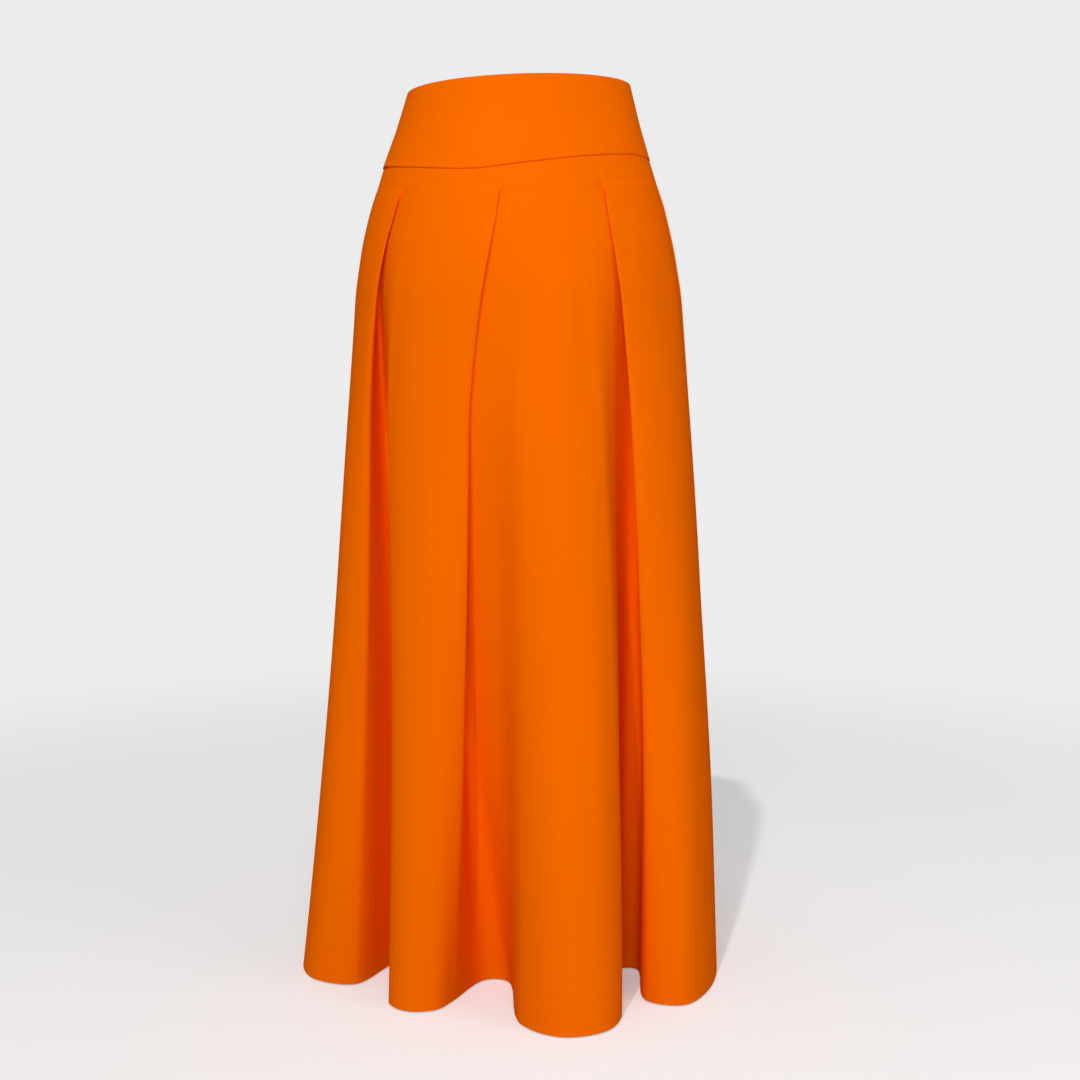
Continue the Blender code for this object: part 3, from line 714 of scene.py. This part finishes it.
def panel_columns():
    """All steps of u round the skirt, with one exactly on each side seam and more beside it."""
    u = np.concatenate([
        STEPS_PER_LOBE * index + lobe_columns(pleat["over"], PLEATS[index - 1]["over"])
        for index, pleat in enumerate(PLEATS)
    ])
    beside = np.array([-SEAM_SPREAD, -SEAM_SPREAD / 3, SEAM_SPREAD / 3, SEAM_SPREAD])
    for seam in (RIGHT_SEAM, LEFT_SEAM):
        u[np.argmin(abs(u - seam))] = seam
        kept = u[(abs(u - seam) > SEAM_SPREAD * 1.2) | (u == seam)]
        u = np.unique(np.concatenate([kept, beside + seam]))
    return u


def panel_grid(u, strength):
    """Outer points and normals of both panels, with their relief and the seam's groove."""
    shares = np.append(panel_rows() / (LENGTH - MEAN_EDGE), HEM_ROWS)
    grid, normal, lift = panel_surface(shares, u, strength)
    under = shares * (LENGTH - MEAN_EDGE)
    dip = SEAM_DIP * (1 - smooth_step(under / SEAM_DIP_OVER))
    grid = grid + normal * (lift - dip[:, None])[..., None]
    return grid, normals_of(grid)


def rolled_sides(outer, inner, gap):
    """Turns the first and the last column in, so that two panels meet in a fine groove."""
    outer, inner = outer.copy(), inner.copy()
    for edge, inside in ((0, 1), (-1, -2)):
        way = unit(outer[:, inside] - outer[:, edge])
        depth = inner[:, edge] - outer[:, edge]
        outer[:, edge] += way * gap + depth * 0.5
        inner[:, edge] += way * gap + depth * 0.25
    return outer, inner


# ---- materials

def fill(tree, node, inputs):
    """Gives a node's inputs their values, or links from other nodes' outputs."""
    for name, value in inputs.items():
        if isinstance(value, bpy.types.NodeSocket):
            tree.links.new(value, node.inputs[name])
        else:
            node.inputs[name].default_value = value


def add_node(tree, kind, inputs, **settings):
    """Adds a shader node and gives its outputs."""
    made = tree.nodes.new("ShaderNode" + kind)
    for name, value in settings.items():
        setattr(made, name, value)
    fill(tree, made, inputs)
    return made.outputs


def new_finish(name):
    """A new material, its node tree and its shader."""
    made = bpy.data.materials.new(name)
    made.use_nodes = True
    return made, made.node_tree, made.node_tree.nodes["Principled BSDF"]


def weave_group():
    """Threads, slubs and the cloth's slight unevenness, as a colour, roughness and normal."""
    found = bpy.data.node_groups.get("fine weave")
    if found:
        return found
    tree = bpy.data.node_groups.new("fine weave", "ShaderNodeTree")
    for in_out, sockets in WEAVE_SOCKETS.items():
        for name in sockets:
            kind = "NodeSocket" + SOCKET_KINDS.get(name, "Float")
            tree.interface.new_socket(name=name, in_out=in_out, socket_type=kind)
    start, end = tree.nodes.new("NodeGroupInput").outputs, tree.nodes.new("NodeGroupOutput")

    def noise(scale, stretch, detail):
        place = add_node(tree, "Mapping", {"Vector": start["Vector"], "Scale": (1, stretch, 1)})
        return add_node(tree, "TexNoise", {"Vector": place["Vector"], "Scale": scale,
                                           "Detail": detail})["Fac"]

    def maths(operation, a, b):
        return add_node(tree, "Math", {0: a, 1: b}, operation=operation)[0]

    def threads(axis):
        apart = add_node(tree, "SeparateXYZ", {"Vector": start["Vector"]})
        turns = maths("MULTIPLY", apart[axis], start["Threads per metre"])
        return maths("SINE", maths("MULTIPLY", turns, 2 * math.pi), 0.0)

    def around_zero(value, strength):
        return maths("MULTIPLY", maths("SUBTRACT", value, 0.5), strength)

    slub, crumple, cloud = noise(900, 0.12, 2), noise(42, 0.55, 3), noise(9, 0.6, 2)
    shade = maths("ADD", around_zero(slub, start["Slub"]), around_zero(cloud, 0.05))
    tint = add_node(tree, "HueSaturation", {"Value": maths("ADD", shade, 1.0),
                                            "Color": start["Colour"]})
    weave = maths("MULTIPLY", threads("X"), threads("Y"))
    fine = add_node(tree, "Bump", {
        "Distance": 0.00004, "Strength": start["Thread height"],
        "Height": maths("ADD", weave, maths("MULTIPLY", slub, 1.5))})
    broad = add_node(tree, "Bump", {"Distance": 0.0006, "Strength": start["Crumple"],
                                    "Height": crumple, "Normal": fine["Normal"]})
    rough = maths("ADD", start["Roughness"], around_zero(cloud, 0.12))
    fill(tree, end, {"Colour": tint["Color"], "Roughness": rough, "Normal": broad["Normal"]})
    return tree


def cloth_finish(name, colour):
    """A woven finish on the piece's own UV map, made once."""
    found = bpy.data.materials.get(name)
    if found:
        return found
    made, tree, shader = new_finish(name)
    place = add_node(tree, "UVMap", {}, uv_map="UVMap")
    values = (place["UV"], (*colour, 1), *WEAVES[name]["inputs"])
    weave = add_node(tree, "Group", dict(zip(WEAVE_SOCKETS["INPUT"], values)),
                     node_tree=weave_group())
    fill(tree, shader, {
        "Base Color": weave["Colour"], "Roughness": weave["Roughness"],
        "Normal": weave["Normal"], "Specular IOR Level": 0.0,
        "Sheen Weight": WEAVES[name]["sheen"], "Sheen Roughness": 0.45,
        "Sheen Tint": (1.0, 0.30, 0.02, 1),
    })
    return made


def metal_finish(name, colour):
    """Enamelled metal, slightly worn, on object coordinates."""
    made, tree, shader = new_finish(name)
    place = add_node(tree, "TexCoord", {})
    cloud = add_node(tree, "TexNoise", {"Vector": place["Object"], "Scale": 600.0})["Fac"]
    tone = tree.nodes.new("ShaderNodeValToRGB")
    tone.color_ramp.elements[0].color = (*(0.85 * x for x in colour), 1)
    tone.color_ramp.elements[1].color = (*(min(1.0, 1.1 * x) for x in colour), 1)
    fill(tree, tone, {"Fac": cloud})
    rough = add_node(tree, "MapRange", {"Value": cloud, "To Min": 0.28, "To Max": 0.45})
    fill(tree, shader, {"Base Color": tone.outputs["Color"], "Roughness": rough["Result"],
                        "Metallic": 0.3, "Coat Weight": 0.4})
    return made


# ---- settings

class SkirtCloth(bpy.types.PropertyGroup):
    thickness: FloatProperty(
        name="Thickness", description="Thickness of one layer of the cloth",
        default=0.6 * MM, min=0.2 * MM, max=2 * MM, unit="LENGTH", precision=4)
    hem: FloatProperty(
        name="Hem", description="Depth of the turned-up hem",
        default=14 * MM, min=5 * MM, max=40 * MM, unit="LENGTH")
    allowance: FloatProperty(
        name="Seam allowance", description="Width of each pressed-open side seam allowance",
        default=12 * MM, min=10.5 * MM, max=20 * MM, unit="LENGTH")
    creases: FloatProperty(
        name="Creases", description="Strength of the soft creases", default=1.0, min=0, max=3)
    colour: FloatVectorProperty(
        name="Cloth", description="Colour of the cloth", subtype="COLOR",
        default=(0.96, 0.150, 0.0), min=0, max=1)
    tape_colour: FloatVectorProperty(
        name="Zip tape", description="Colour of the zip's tapes and of the thread",
        subtype="COLOR", default=(0.80, 0.12, 0.006), min=0, max=1)
    metal_colour: FloatVectorProperty(
        name="Zip metal", description="Colour of the slider and its tab",
        subtype="COLOR", default=(0.70, 0.10, 0.01), min=0, max=1)


class SkirtStudio(bpy.types.PropertyGroup):
    camera_back: FloatProperty(
        name="Camera distance", description="From the waist's axis to the camera",
        default=1.575, unit="LENGTH")
    camera_height: FloatProperty(
        name="Camera height", description="Above the waist, so less than zero is below it",
        default=-0.323, unit="LENGTH")
    camera_azimuth: FloatProperty(
        name="Camera azimuth", description="From the front towards the wearer's left",
        default=math.radians(-15), unit="ROTATION")
    camera_dip: FloatProperty(
        name="Camera dip", description="How far the camera looks down",
        default=math.radians(5.63), unit="ROTATION")
    camera_turn: FloatProperty(
        name="Camera turn", description="How far the camera turns to the right of the axis",
        default=math.radians(0.77), unit="ROTATION")
    lens: FloatProperty(
        name="Lens", description="Focal length in mm on a 36 mm sensor", default=48.333)
    key: FloatProperty(
        name="Key light", description="Power of the large front light", default=19.0,
        unit="POWER")
    side: FloatProperty(
        name="Side light", description="Strength of the light that casts the floor's shadow",
        default=0.92)
    right: FloatProperty(
        name="Right light", description="Power of the large light at the right", default=7.0,
        min=0, unit="POWER")
    surround: FloatProperty(
        name="Surround", description="Strength of the even light all round", default=0.36)


# ---- pieces

def panel_cloth(cloth):
    """The two panels, from side seam to side seam, turned up at the hem."""
    u = panel_columns()
    outer, normal = panel_grid(u, cloth.creases)
    turned = -outer[..., 2] > LENGTH - cloth.hem
    wall = np.where(turned, HEM_LAYERS * cloth.thickness, cloth.thickness)
    inner = outer - normal * wall[..., None]
    inner[-1, :, 2] = outer[-1, :, 2]
    right, left = np.searchsorted(u, [RIGHT_SEAM, LEFT_SEAM])
    spans = {
        "front_panel": np.arange(right, left + 1),
        "back_panel": np.arange(left, right + len(u) + 1) % len(u),
    }
    for name, columns in spans.items():
        faces = rolled_sides(outer[:, columns], inner[:, columns], PANEL_GAP)
        piece = wall_piece(name + "_cloth", *faces, cloth_uv(outer[:, columns]),
                           cloth_finish("orange crepe", cloth.colour))
        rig.replaces(piece, name)
        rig.slot(piece, "orange_cloth")
        yield name, piece


def band_profile():
    """(share, lift in metres, 1 on the outer face) round the band's section, from the inner
    face's lower edge over the top to the outer face's lower edge."""
    face = np.concatenate([np.linspace(0.03, 0.80, 26), np.linspace(0.82, 0.975, 16)])
    inner, outer = BAND_PROUD - BAND_CLOTH, BAND_PROUD
    middle, half = (inner + outer) / 2, BAND_CLOTH / 2
    over = [math.radians(angle) for angle in np.linspace(-75, 75, 7)]
    return [
        (1.0, middle - 0.2 * half, 0), (0.996, middle - 0.7 * half, 0), (0.988, inner, 0),
        *((share, inner, 0) for share in face[::-1]),
        *((0.011 * (1 - math.cos(a)), middle + half * math.sin(a), 0) for a in over),
        *((share, outer, 1) for share in face),
        (0.986, outer - 0.04 * half, 1), (0.994, outer - 0.22 * half, 1),
        (0.999, outer - 0.55 * half, 1), (1.0, middle + 0.1 * half, 0),
    ]


def side_gaps(shares, slot):
    """How far the band's end stands off the side seam, with a slot this wide or none."""
    middle, reach = SLIDER_DEPTH / SIDE_EDGE, SLOT_LENGTH / 2 / SIDE_EDGE
    return BAND_GAP + slot / 2 * bump((shares - middle) / reach / 1.3)


def band_cloth(cloth):
    """The band's two pieces, closed round their edges."""
    profile = band_profile()
    shares, is_outer = np.array(profile).T[[0, 2]]
    closed, parted = side_gaps(shares, 0), side_gaps(shares, SLOT)
    pieces = {"front_band": (-90.0, closed, parted), "back_band": (90.0, parted, closed)}
    for name, (first, *gaps) in pieces.items():
        azimuth = np.linspace(first, first + 180, 160)
        grid = np.stack([
            band_points(azimuth, share, lift + band_relief(azimuth, share, cloth.creases) * outer)
            for share, lift, outer in profile
        ])
        # At the side seam the outer face turns in, so that the seam is a fine groove.
        for edge, inside, gap in ((0, 1, gaps[0]), (-1, -2, gaps[1])):
            way = unit(grid[:, inside] - grid[:, edge])
            middle = band_points(azimuth[[edge]], 0.5, 0.0)[0]
            out = np.array([np.sign(middle[0]), 0.0, 0.0])
            grid[:, edge] += way * gap[:, None] - out * (BAND_GROOVE * is_outer)[:, None]
        index = np.arange(grid[..., 0].size).reshape(grid.shape[:2])
        faces = quads_of(np.concatenate([index, index[:1]])).tolist()
        faces += [index[::-1, 0].tolist(), index[:, -1].tolist()]
        across = arc_lengths(grid[len(grid) // 4])
        down = arc_lengths(grid.swapaxes(0, 1)).mean(axis=0)
        uv = np.stack(np.broadcast_arrays(across, down[:, None]), axis=-1)
        piece = new_piece(name + "_cloth", grid.reshape(-1, 3), faces,
                          cloth_finish("orange crepe", cloth.colour), uv.reshape(-1, 2), 60.0)
        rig.replaces(piece, name)
        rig.slot(piece, "orange_cloth")
        yield name, piece


def beside_seam(seam, shares, distances, inset, creases):
    """Points inside the panels, this far round from a side seam and in from the outer face."""
    grid, normal, lift = panel_surface(shares, seam + NEAR_SEAM, creases, ring=False)
    grid = grid + normal * (lift - inset)[..., None]
    arc = arc_lengths(grid)
    arc -= arc[:, [len(NEAR_SEAM) // 2]]
    return np.stack([at_distance(distances, *row) for row in zip(arc, grid)])


def seam_allowances(cloth):
    """The side seams' allowances, pressed open inside the panels."""
    last = (LENGTH - cloth.hem - 1 * MM - SIDE_EDGE) / (LENGTH - SIDE_EDGE)
    shares = np.concatenate([np.linspace(0.004, 0.3, 60), np.linspace(0.31, last, 90)])
    reach = np.linspace(0.3 * MM, cloth.allowance, 5)
    inset = cloth.thickness + ALLOWANCE_INSET
    sides = (("right_seam_back", RIGHT_SEAM, -1), ("right_seam_front", RIGHT_SEAM, 1),
             ("left_seam_front", LEFT_SEAM, -1), ("left_seam_back", LEFT_SEAM, 1))
    for name, seam, side in sides:
        distances = side * reach[::side]
        outer, inner = (beside_seam(seam, shares, distances, depth, cloth.creases)
                        for depth in (inset, inset + cloth.thickness * 0.8))
        piece = wall_piece(name + "_allowance", outer, inner, cloth_uv(outer),
                           cloth_finish("orange crepe", cloth.colour))
        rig.slot(piece, "orange_cloth")
        yield piece


@functools.lru_cache(maxsize=None)
def zip_line(share):
    """The panels' outer face beside the left side seam: arc length, points and normals."""
    line = panel_row(share, LEFT_SEAM + NEAR_SEAM)
    arc = arc_lengths(line)
    arc -= arc[len(arc) // 2]
    along = np.gradient(line, arc, axis=0)
    return arc, line, unit(np.column_stack([along[:, 1], -along[:, 0], np.zeros(len(arc))]))


def behind_zip(across, depth, inset):
    """A point inside the left side seam, this far across it and in from the inner face."""
    if depth < SIDE_EDGE:
        azimuth = 90 + math.degrees(across / column(BODY, "front")[0] / MM)
        lift = BAND_PROUD - BAND_CLOTH - inset
        return band_points(np.array([azimuth]), depth / SIDE_EDGE, lift)[0]
    arc, line, out = zip_line((depth - SIDE_EDGE) / (LENGTH - SIDE_EDGE))
    return at_distance(across, arc, line - out * (SOLID_CLOTH + inset))


def tape_faces(columns, depths):
    """The outer and the inner face of a zip tape, as grids of points."""
    return [np.array([[behind_zip(x, depth, inset) for x in columns] for depth in depths])
            for inset in (TAPE_GAP, TAPE_GAP + TAPE)]


def zip_tapes(finish):
    depths = np.linspace(ZIP_FROM, ZIP_TO, 84)
    for name, side in (("zip_tape_front", -1), ("zip_tape_back", 1)):
        far = TAPES_APART / 2 + TAPE_WIDTH
        columns = sorted(side * x for x in np.linspace(TAPES_APART / 2, far, 7))
        uv = np.stack(np.broadcast_arrays(columns, -depths[:, None]), -1)
        piece = wall_piece(name + "_weave", *tape_faces(columns, depths), uv, finish)
        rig.replaces(piece, name)
        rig.slot(piece, "zip_tape")
        yield piece


def zip_chain(finish):
    """The coil between the tapes: two rows of small turns that lock into each other."""
    bpy.ops.mesh.primitive_uv_sphere_add(segments=8, ring_count=5, radius=0.5)
    turn = bpy.context.object
    shape = np.array([v.co for v in turn.data.vertices])
    shape = shape * (COIL_WIDTH, COIL_PITCH * 0.9, COIL_HEIGHT)
    ring = [list(face.vertices) for face in turn.data.polygons]
    bpy.data.objects.remove(turn)
    points, faces = [], []
    for depth in np.arange(SLIDER_DEPTH + 5 * MM, ZIP_TO - 3 * MM, COIL_PITCH):
        for side, at in ((-1, depth), (1, depth + COIL_PITCH / 2)):
            middle, *beside = (
                behind_zip(side * COIL_OFF + x, at + y, TAPE_GAP + TAPE / 2)
                for x, y in ((0, 0), (1 * MM, 0), (0, 1 * MM)))
            right, down = (unit(point - middle) for point in beside)
            base = len(points) * len(shape)
            points.append(middle + shape @ np.stack([right, down, np.cross(right, down)]))
            faces += [[base + i for i in face] for face in ring]
    piece = new_piece("zip_chain", np.concatenate(points), faces, finish)
    edit_mesh(piece, (bpy.ops.mesh.normals_make_consistent, dict(inside=False)))
    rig.slot(piece, "zip_tape")


def rounded_copy(node, body, finish):
    """A copy of a small solid with its edges rounded, in place of the plain one."""
    mesh = frame["nodes"][node].data.copy()
    mesh.materials.clear()
    mesh.materials.append(finish)
    piece = add_object(node + "_metal", mesh)
    edit_mesh(piece, (bpy.ops.mesh.remove_doubles, dict(threshold=1e-6)),
              (bpy.ops.mesh.dissolve_limited, dict(angle_limit=math.radians(1))))
    bevel = piece.modifiers.new("rounding", "BEVEL")
    bevel.width, bevel.segments = METAL_ROUNDING, 3
    bevel.limit_method = "ANGLE"
    bevel.angle_limit = math.radians(30)
    bpy.ops.object.modifier_apply(modifier=bevel.name)
    piece.data.shade_smooth()
    piece.data.set_sharp_from_angle(angle=math.radians(50))
    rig.ride(piece, body)
    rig.replaces(piece, node)
    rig.slot(piece, "zip_metal")


def stitches(name, path, normal, finish):
    """A row of machine stitches along a path of points, standing on its surface."""
    arc = arc_lengths(path)
    turn = np.arange(STITCH_SIDES) * 2 * math.pi / STITCH_SIDES
    circle = np.stack([np.cos(turn), np.sin(turn)], axis=-1)
    points, faces = [], []
    for middle in np.arange(STITCH_PITCH, arc[-1] - STITCH_PITCH, STITCH_PITCH):
        start, end = (at_distance(middle + half, arc, path)
                      for half in (-STITCH_LENGTH / 2, STITCH_LENGTH / 2))
        way = unit(end - start)
        side = unit(np.cross(way, at_distance(middle, arc, normal)))
        out = np.cross(side, way)
        centre = (start + end) / 2 + out * THREAD * 0.5
        base = len(points)
        points.append(start - out * THREAD * 0.3)
        for along in (-0.3, 0.3):
            for c, d in circle:
                points.append(centre + way * along * STITCH_LENGTH + (side * c + out * d) * THREAD)
        points.append(end - out * THREAD * 0.3)
        for i in range(STITCH_SIDES):
            a, b = base + 1 + i, base + 1 + (i + 1) % STITCH_SIDES
            faces.append([base, a, b])
            faces.append([a, a + STITCH_SIDES, b + STITCH_SIDES, b])
            faces.append([a + STITCH_SIDES, base + 1 + 2 * STITCH_SIDES, b + STITCH_SIDES])
    piece = new_piece(name, np.array(points), faces, finish)
    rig.slot(piece, "zip_tape")


def all_stitching(cloth):
    """Stitching that shows inside: the hem, the band's facing and the zip's tapes."""
    finish = cloth_finish("sewing thread", cloth.tape_colour)
    u = np.linspace(0, TURNS, 1601)[:-1]
    share = (LENGTH - cloth.hem + 2 * MM - MEAN_EDGE) / (LENGTH - MEAN_EDGE)
    grid, normal, lift = panel_surface((share - 0.004, share, share + 0.004), u, cloth.creases)
    grid = grid + normal * (lift - HEM_LAYERS * cloth.thickness)[..., None]
    path, normal = (np.vstack([rows[1], rows[1][:1]]) for rows in (grid, normal))
    stitches("hem_stitches", path, -normal, finish)
    azimuth = np.linspace(-88, 264, 700)
    inside = band_points(azimuth, 0.97, BAND_PROUD - BAND_CLOTH)
    towards = np.column_stack([-polar(azimuth, 1.0), np.zeros(len(azimuth))])
    stitches("facing_stitches", inside, towards, finish)
    depths = np.linspace(ZIP_FROM + 2 * MM, ZIP_TO - 2 * MM, 60)
    for name, side in (("front", -1), ("back", 1)):
        across = side * (TAPES_APART / 2 + 0.55 * TAPE_WIDTH)
        outer, inner = (face[:, 0] for face in tape_faces([across], depths))
        stitches(f"zip_{name}_stitches", inner, (inner - outer) / TAPE, finish)


# ---- studio

def pale_paper(foot):
    """Plain paper, which gives most of its own light far from the foot."""
    made, tree, shader = new_finish("pale paper")
    place = add_node(tree, "TexCoord", {})
    apart = add_node(tree, "VectorMath", {0: place["Object"], 1: foot}, operation="DISTANCE")
    far = add_node(tree, "MapRange", {"Value": apart["Value"], "From Min": FAR_FROM,
                                      "From Max": FAR_TO}, interpolation_type="SMOOTHSTEP")
    far, seen = far["Result"], add_node(tree, "LightPath", {})["Is Camera Ray"]
    glow = add_node(tree, "MapRange", {"Value": far, "To Min": FLOOR_GLOW, "To Max": FAR_GLOW})
    spill = add_node(tree, "MapRange", {"Value": seen, "To Min": GLOW_SPILL})
    light = add_node(tree, "Math", {0: glow["Result"], 1: spill["Result"]}, operation="MULTIPLY")
    near = add_node(tree, "Mix", {"Factor": seen, "A": FLOOR_BOUNCE, "B": FLOOR_COLOUR},
                    data_type="RGBA")
    tone = add_node(tree, "Mix", {"Factor": far, "A": near["Result"], "B": FAR_COLOUR},
                    data_type="RGBA")
    fill(tree, shader, {
        "Base Color": tone["Result"], "Roughness": 0.9, "Specular IOR Level": 0.0,
        "Emission Color": (1, 1, 1, 1), "Emission Strength": light[0]})
    return made


def studio_sheet(turn):
    """A pale floor that curves up into a backdrop."""
    run = [(-FLOOR_HALF, 0.0), (BEND_FROM, 0.0)]
    for a in np.radians(np.linspace(0, 90, 19)[1:]):
        run.append((BEND_FROM + BEND_RADIUS * math.sin(a), BEND_RADIUS * (1 - math.cos(a))))
    run.append((BEND_FROM + BEND_RADIUS, FLOOR_HALF))
    floor = -LENGTH - FLOOR_GAP
    points = [(x, y, floor + z) for y, z in run for x in (-FLOOR_HALF, FLOOR_HALF)]
    faces = [[2 * i, 2 * i + 1, 2 * i + 3, 2 * i + 2] for i in range(len(run) - 1)]
    mesh = bpy.data.meshes.new("studio_floor")
    mesh.from_pydata(points, [], faces)
    mesh.transform(Matrix.Rotation(turn, 4, "Z"))
    mesh.shade_smooth()
    mesh.materials.append(pale_paper((0, 0, floor)))
    made = add_object("studio_floor", mesh)
    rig.stage(made)


def aimed(name, data, place, way, axis="-Z"):
    """A light or a camera in the scene, with this axis along the way given."""
    made = add_object(name, data)
    made.location = place
    made.rotation_mode = "QUATERNION"
    made.rotation_quaternion = way.to_track_quat(axis, "Y")
    return made


def studio(settings):
    turn = Matrix.Rotation(settings.camera_azimuth, 3, "Z")
    studio_sheet(settings.camera_azimuth)
    data = bpy.data.cameras.new("camera")
    data.sensor_width = 36.0
    data.lens = settings.lens
    dip, swing = settings.camera_dip, settings.camera_turn
    forward = Vector((math.sin(swing) * math.cos(dip), math.cos(swing) * math.cos(dip),
                      -math.sin(dip)))
    place = turn @ Vector((0, -settings.camera_back, settings.camera_height))
    bpy.context.scene.camera = aimed("camera", data, place, turn @ forward)
    for name, spot, power, size in (("key_light", (-0.1, -2.2, 0.3), settings.key, 0.8),
                                    ("right_light", (1.9, -1.2, 0.3), settings.right, 1.0)):
        data = bpy.data.lights.new(name, "AREA")
        data.energy, data.size = power, size
        place = turn @ Vector(spot)
        aimed(name, data, place, Vector(LIGHTS_AIM) - place)
    data = bpy.data.lights.new("side_light", "SUN")
    data.energy, data.angle = settings.side, math.radians(1.6)
    aimed("side_light", data, (0, 0, 0), turn @ Vector(SIDE_LIGHT_WAY), axis="Z")
    world = bpy.data.worlds.new("surround")
    world.use_nodes = True
    fill(world.node_tree, world.node_tree.nodes["Background"],
         {"Color": (1, 1, 1, 1), "Strength": settings.surround})
    bpy.context.scene.world = world
    bpy.context.scene.view_settings.view_transform = "Standard"


# ---- operators

class SKIRT_OT_panels(bpy.types.Operator):
    """Make the front and the back panel from side seam to side seam"""
    bl_idname = "skirt.panels"
    bl_label = "Panels"

    def execute(self, context):
        for name, piece in panel_cloth(context.scene.skirt_cloth):
            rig.sheet(piece, held="gathered", rests_on=[name.replace("panel", "band") + "_cloth"],
                     **PANEL_CUT[name])
        return {"FINISHED"}


class SKIRT_OT_band(bpy.types.Operator):
    """Make the front and the back of the shaped band"""
    bl_idname = "skirt.band"
    bl_label = "Band"

    def execute(self, context):
        for name, piece in band_cloth(context.scene.skirt_cloth):
            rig.sheet(piece, held="hung", **BAND_CUT[name])
        return {"FINISHED"}


class SKIRT_OT_seams(bpy.types.Operator):
    """Make the side seams' allowances, pressed open inside"""
    bl_idname = "skirt.seams"
    bl_label = "Seam allowances"

    def execute(self, context):
        cloth = context.scene.skirt_cloth
        for piece in seam_allowances(cloth):
            side = "front_panel" if "front" in piece.name else "back_panel"
            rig.sheet(piece, flat=(cloth.allowance, 0.86), held="folded",
                     rests_on=[side + "_cloth"])
        return {"FINISHED"}


class SKIRT_OT_zip(bpy.types.Operator):
    """Make the concealed zip: its tapes, coil, slider and pull tab"""
    bl_idname = "skirt.zip"
    bl_label = "Zip"

    def execute(self, context):
        cloth = context.scene.skirt_cloth
        for piece in zip_tapes(cloth_finish("zip tape", cloth.tape_colour)):
            side = "front_band" if "front" in piece.name else "back_band"
            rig.sheet(piece, flat=(TAPE_WIDTH, ZIP_TO - ZIP_FROM), held="hung",
                     rests_on=[side + "_cloth"])
        zip_chain(cloth_finish("sewing thread", cloth.tape_colour))
        metal = metal_finish("enamelled metal", cloth.metal_colour)
        rounded_copy("zip_slider", SKIRT, metal)
        rounded_copy("zip_pull", PULL, metal)
        return {"FINISHED"}


class SKIRT_OT_stitching(bpy.types.Operator):
    """Make the rows of stitching that show inside"""
    bl_idname = "skirt.stitching"
    bl_label = "Stitching"

    def execute(self, context):
        all_stitching(context.scene.skirt_cloth)
        return {"FINISHED"}


class SKIRT_OT_studio(bpy.types.Operator):
    """Make the pale floor, the soft lights and the camera"""
    bl_idname = "skirt.studio"
    bl_label = "Studio"

    def execute(self, context):
        studio(context.scene.skirt_studio)
        return {"FINISHED"}


class SKIRT_PT_sidebar(bpy.types.Panel):
    """The skirt's settings and the operators that build it"""
    bl_idname = "SKIRT_PT_sidebar"
    bl_label = "Skirt"
    bl_space_type = "VIEW_3D"
    bl_region_type = "UI"
    bl_category = "Skirt"

    def draw(self, context):
        for settings in (context.scene.skirt_cloth, context.scene.skirt_studio):
            for name in settings.bl_rna.properties.keys():
                if name not in ("rna_type", "name"):
                    self.layout.prop(settings, name)
        for operator in OPERATORS:
            self.layout.operator(operator.bl_idname)


OPERATORS = (SKIRT_OT_studio, SKIRT_OT_panels, SKIRT_OT_band, SKIRT_OT_seams, SKIRT_OT_zip,
             SKIRT_OT_stitching)
CLASSES = (SkirtCloth, SkirtStudio, *OPERATORS, SKIRT_PT_sidebar)


def register():
    for made in CLASSES:
        bpy.utils.register_class(made)
    bpy.types.Scene.skirt_cloth = PointerProperty(type=SkirtCloth)
    bpy.types.Scene.skirt_studio = PointerProperty(type=SkirtStudio)


def unregister():
    del bpy.types.Scene.skirt_cloth
    del bpy.types.Scene.skirt_studio
    for made in reversed(CLASSES):
        bpy.utils.unregister_class(made)


def main():
    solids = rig.bounds()
    register()
    bpy.ops.skirt.studio()
    bpy.ops.skirt.panels()
    bpy.ops.skirt.band()
    bpy.ops.skirt.seams()
    bpy.ops.skirt.zip()
    bpy.ops.skirt.stitching()
    sizes = {"cad": solids, "visual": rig.bounds()}
    with open("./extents.json", "w") as file:
        json.dump({key: [list(corner) for corner in box] for key, box in sizes.items()}, file)


if __name__ == "__main__":
    main()
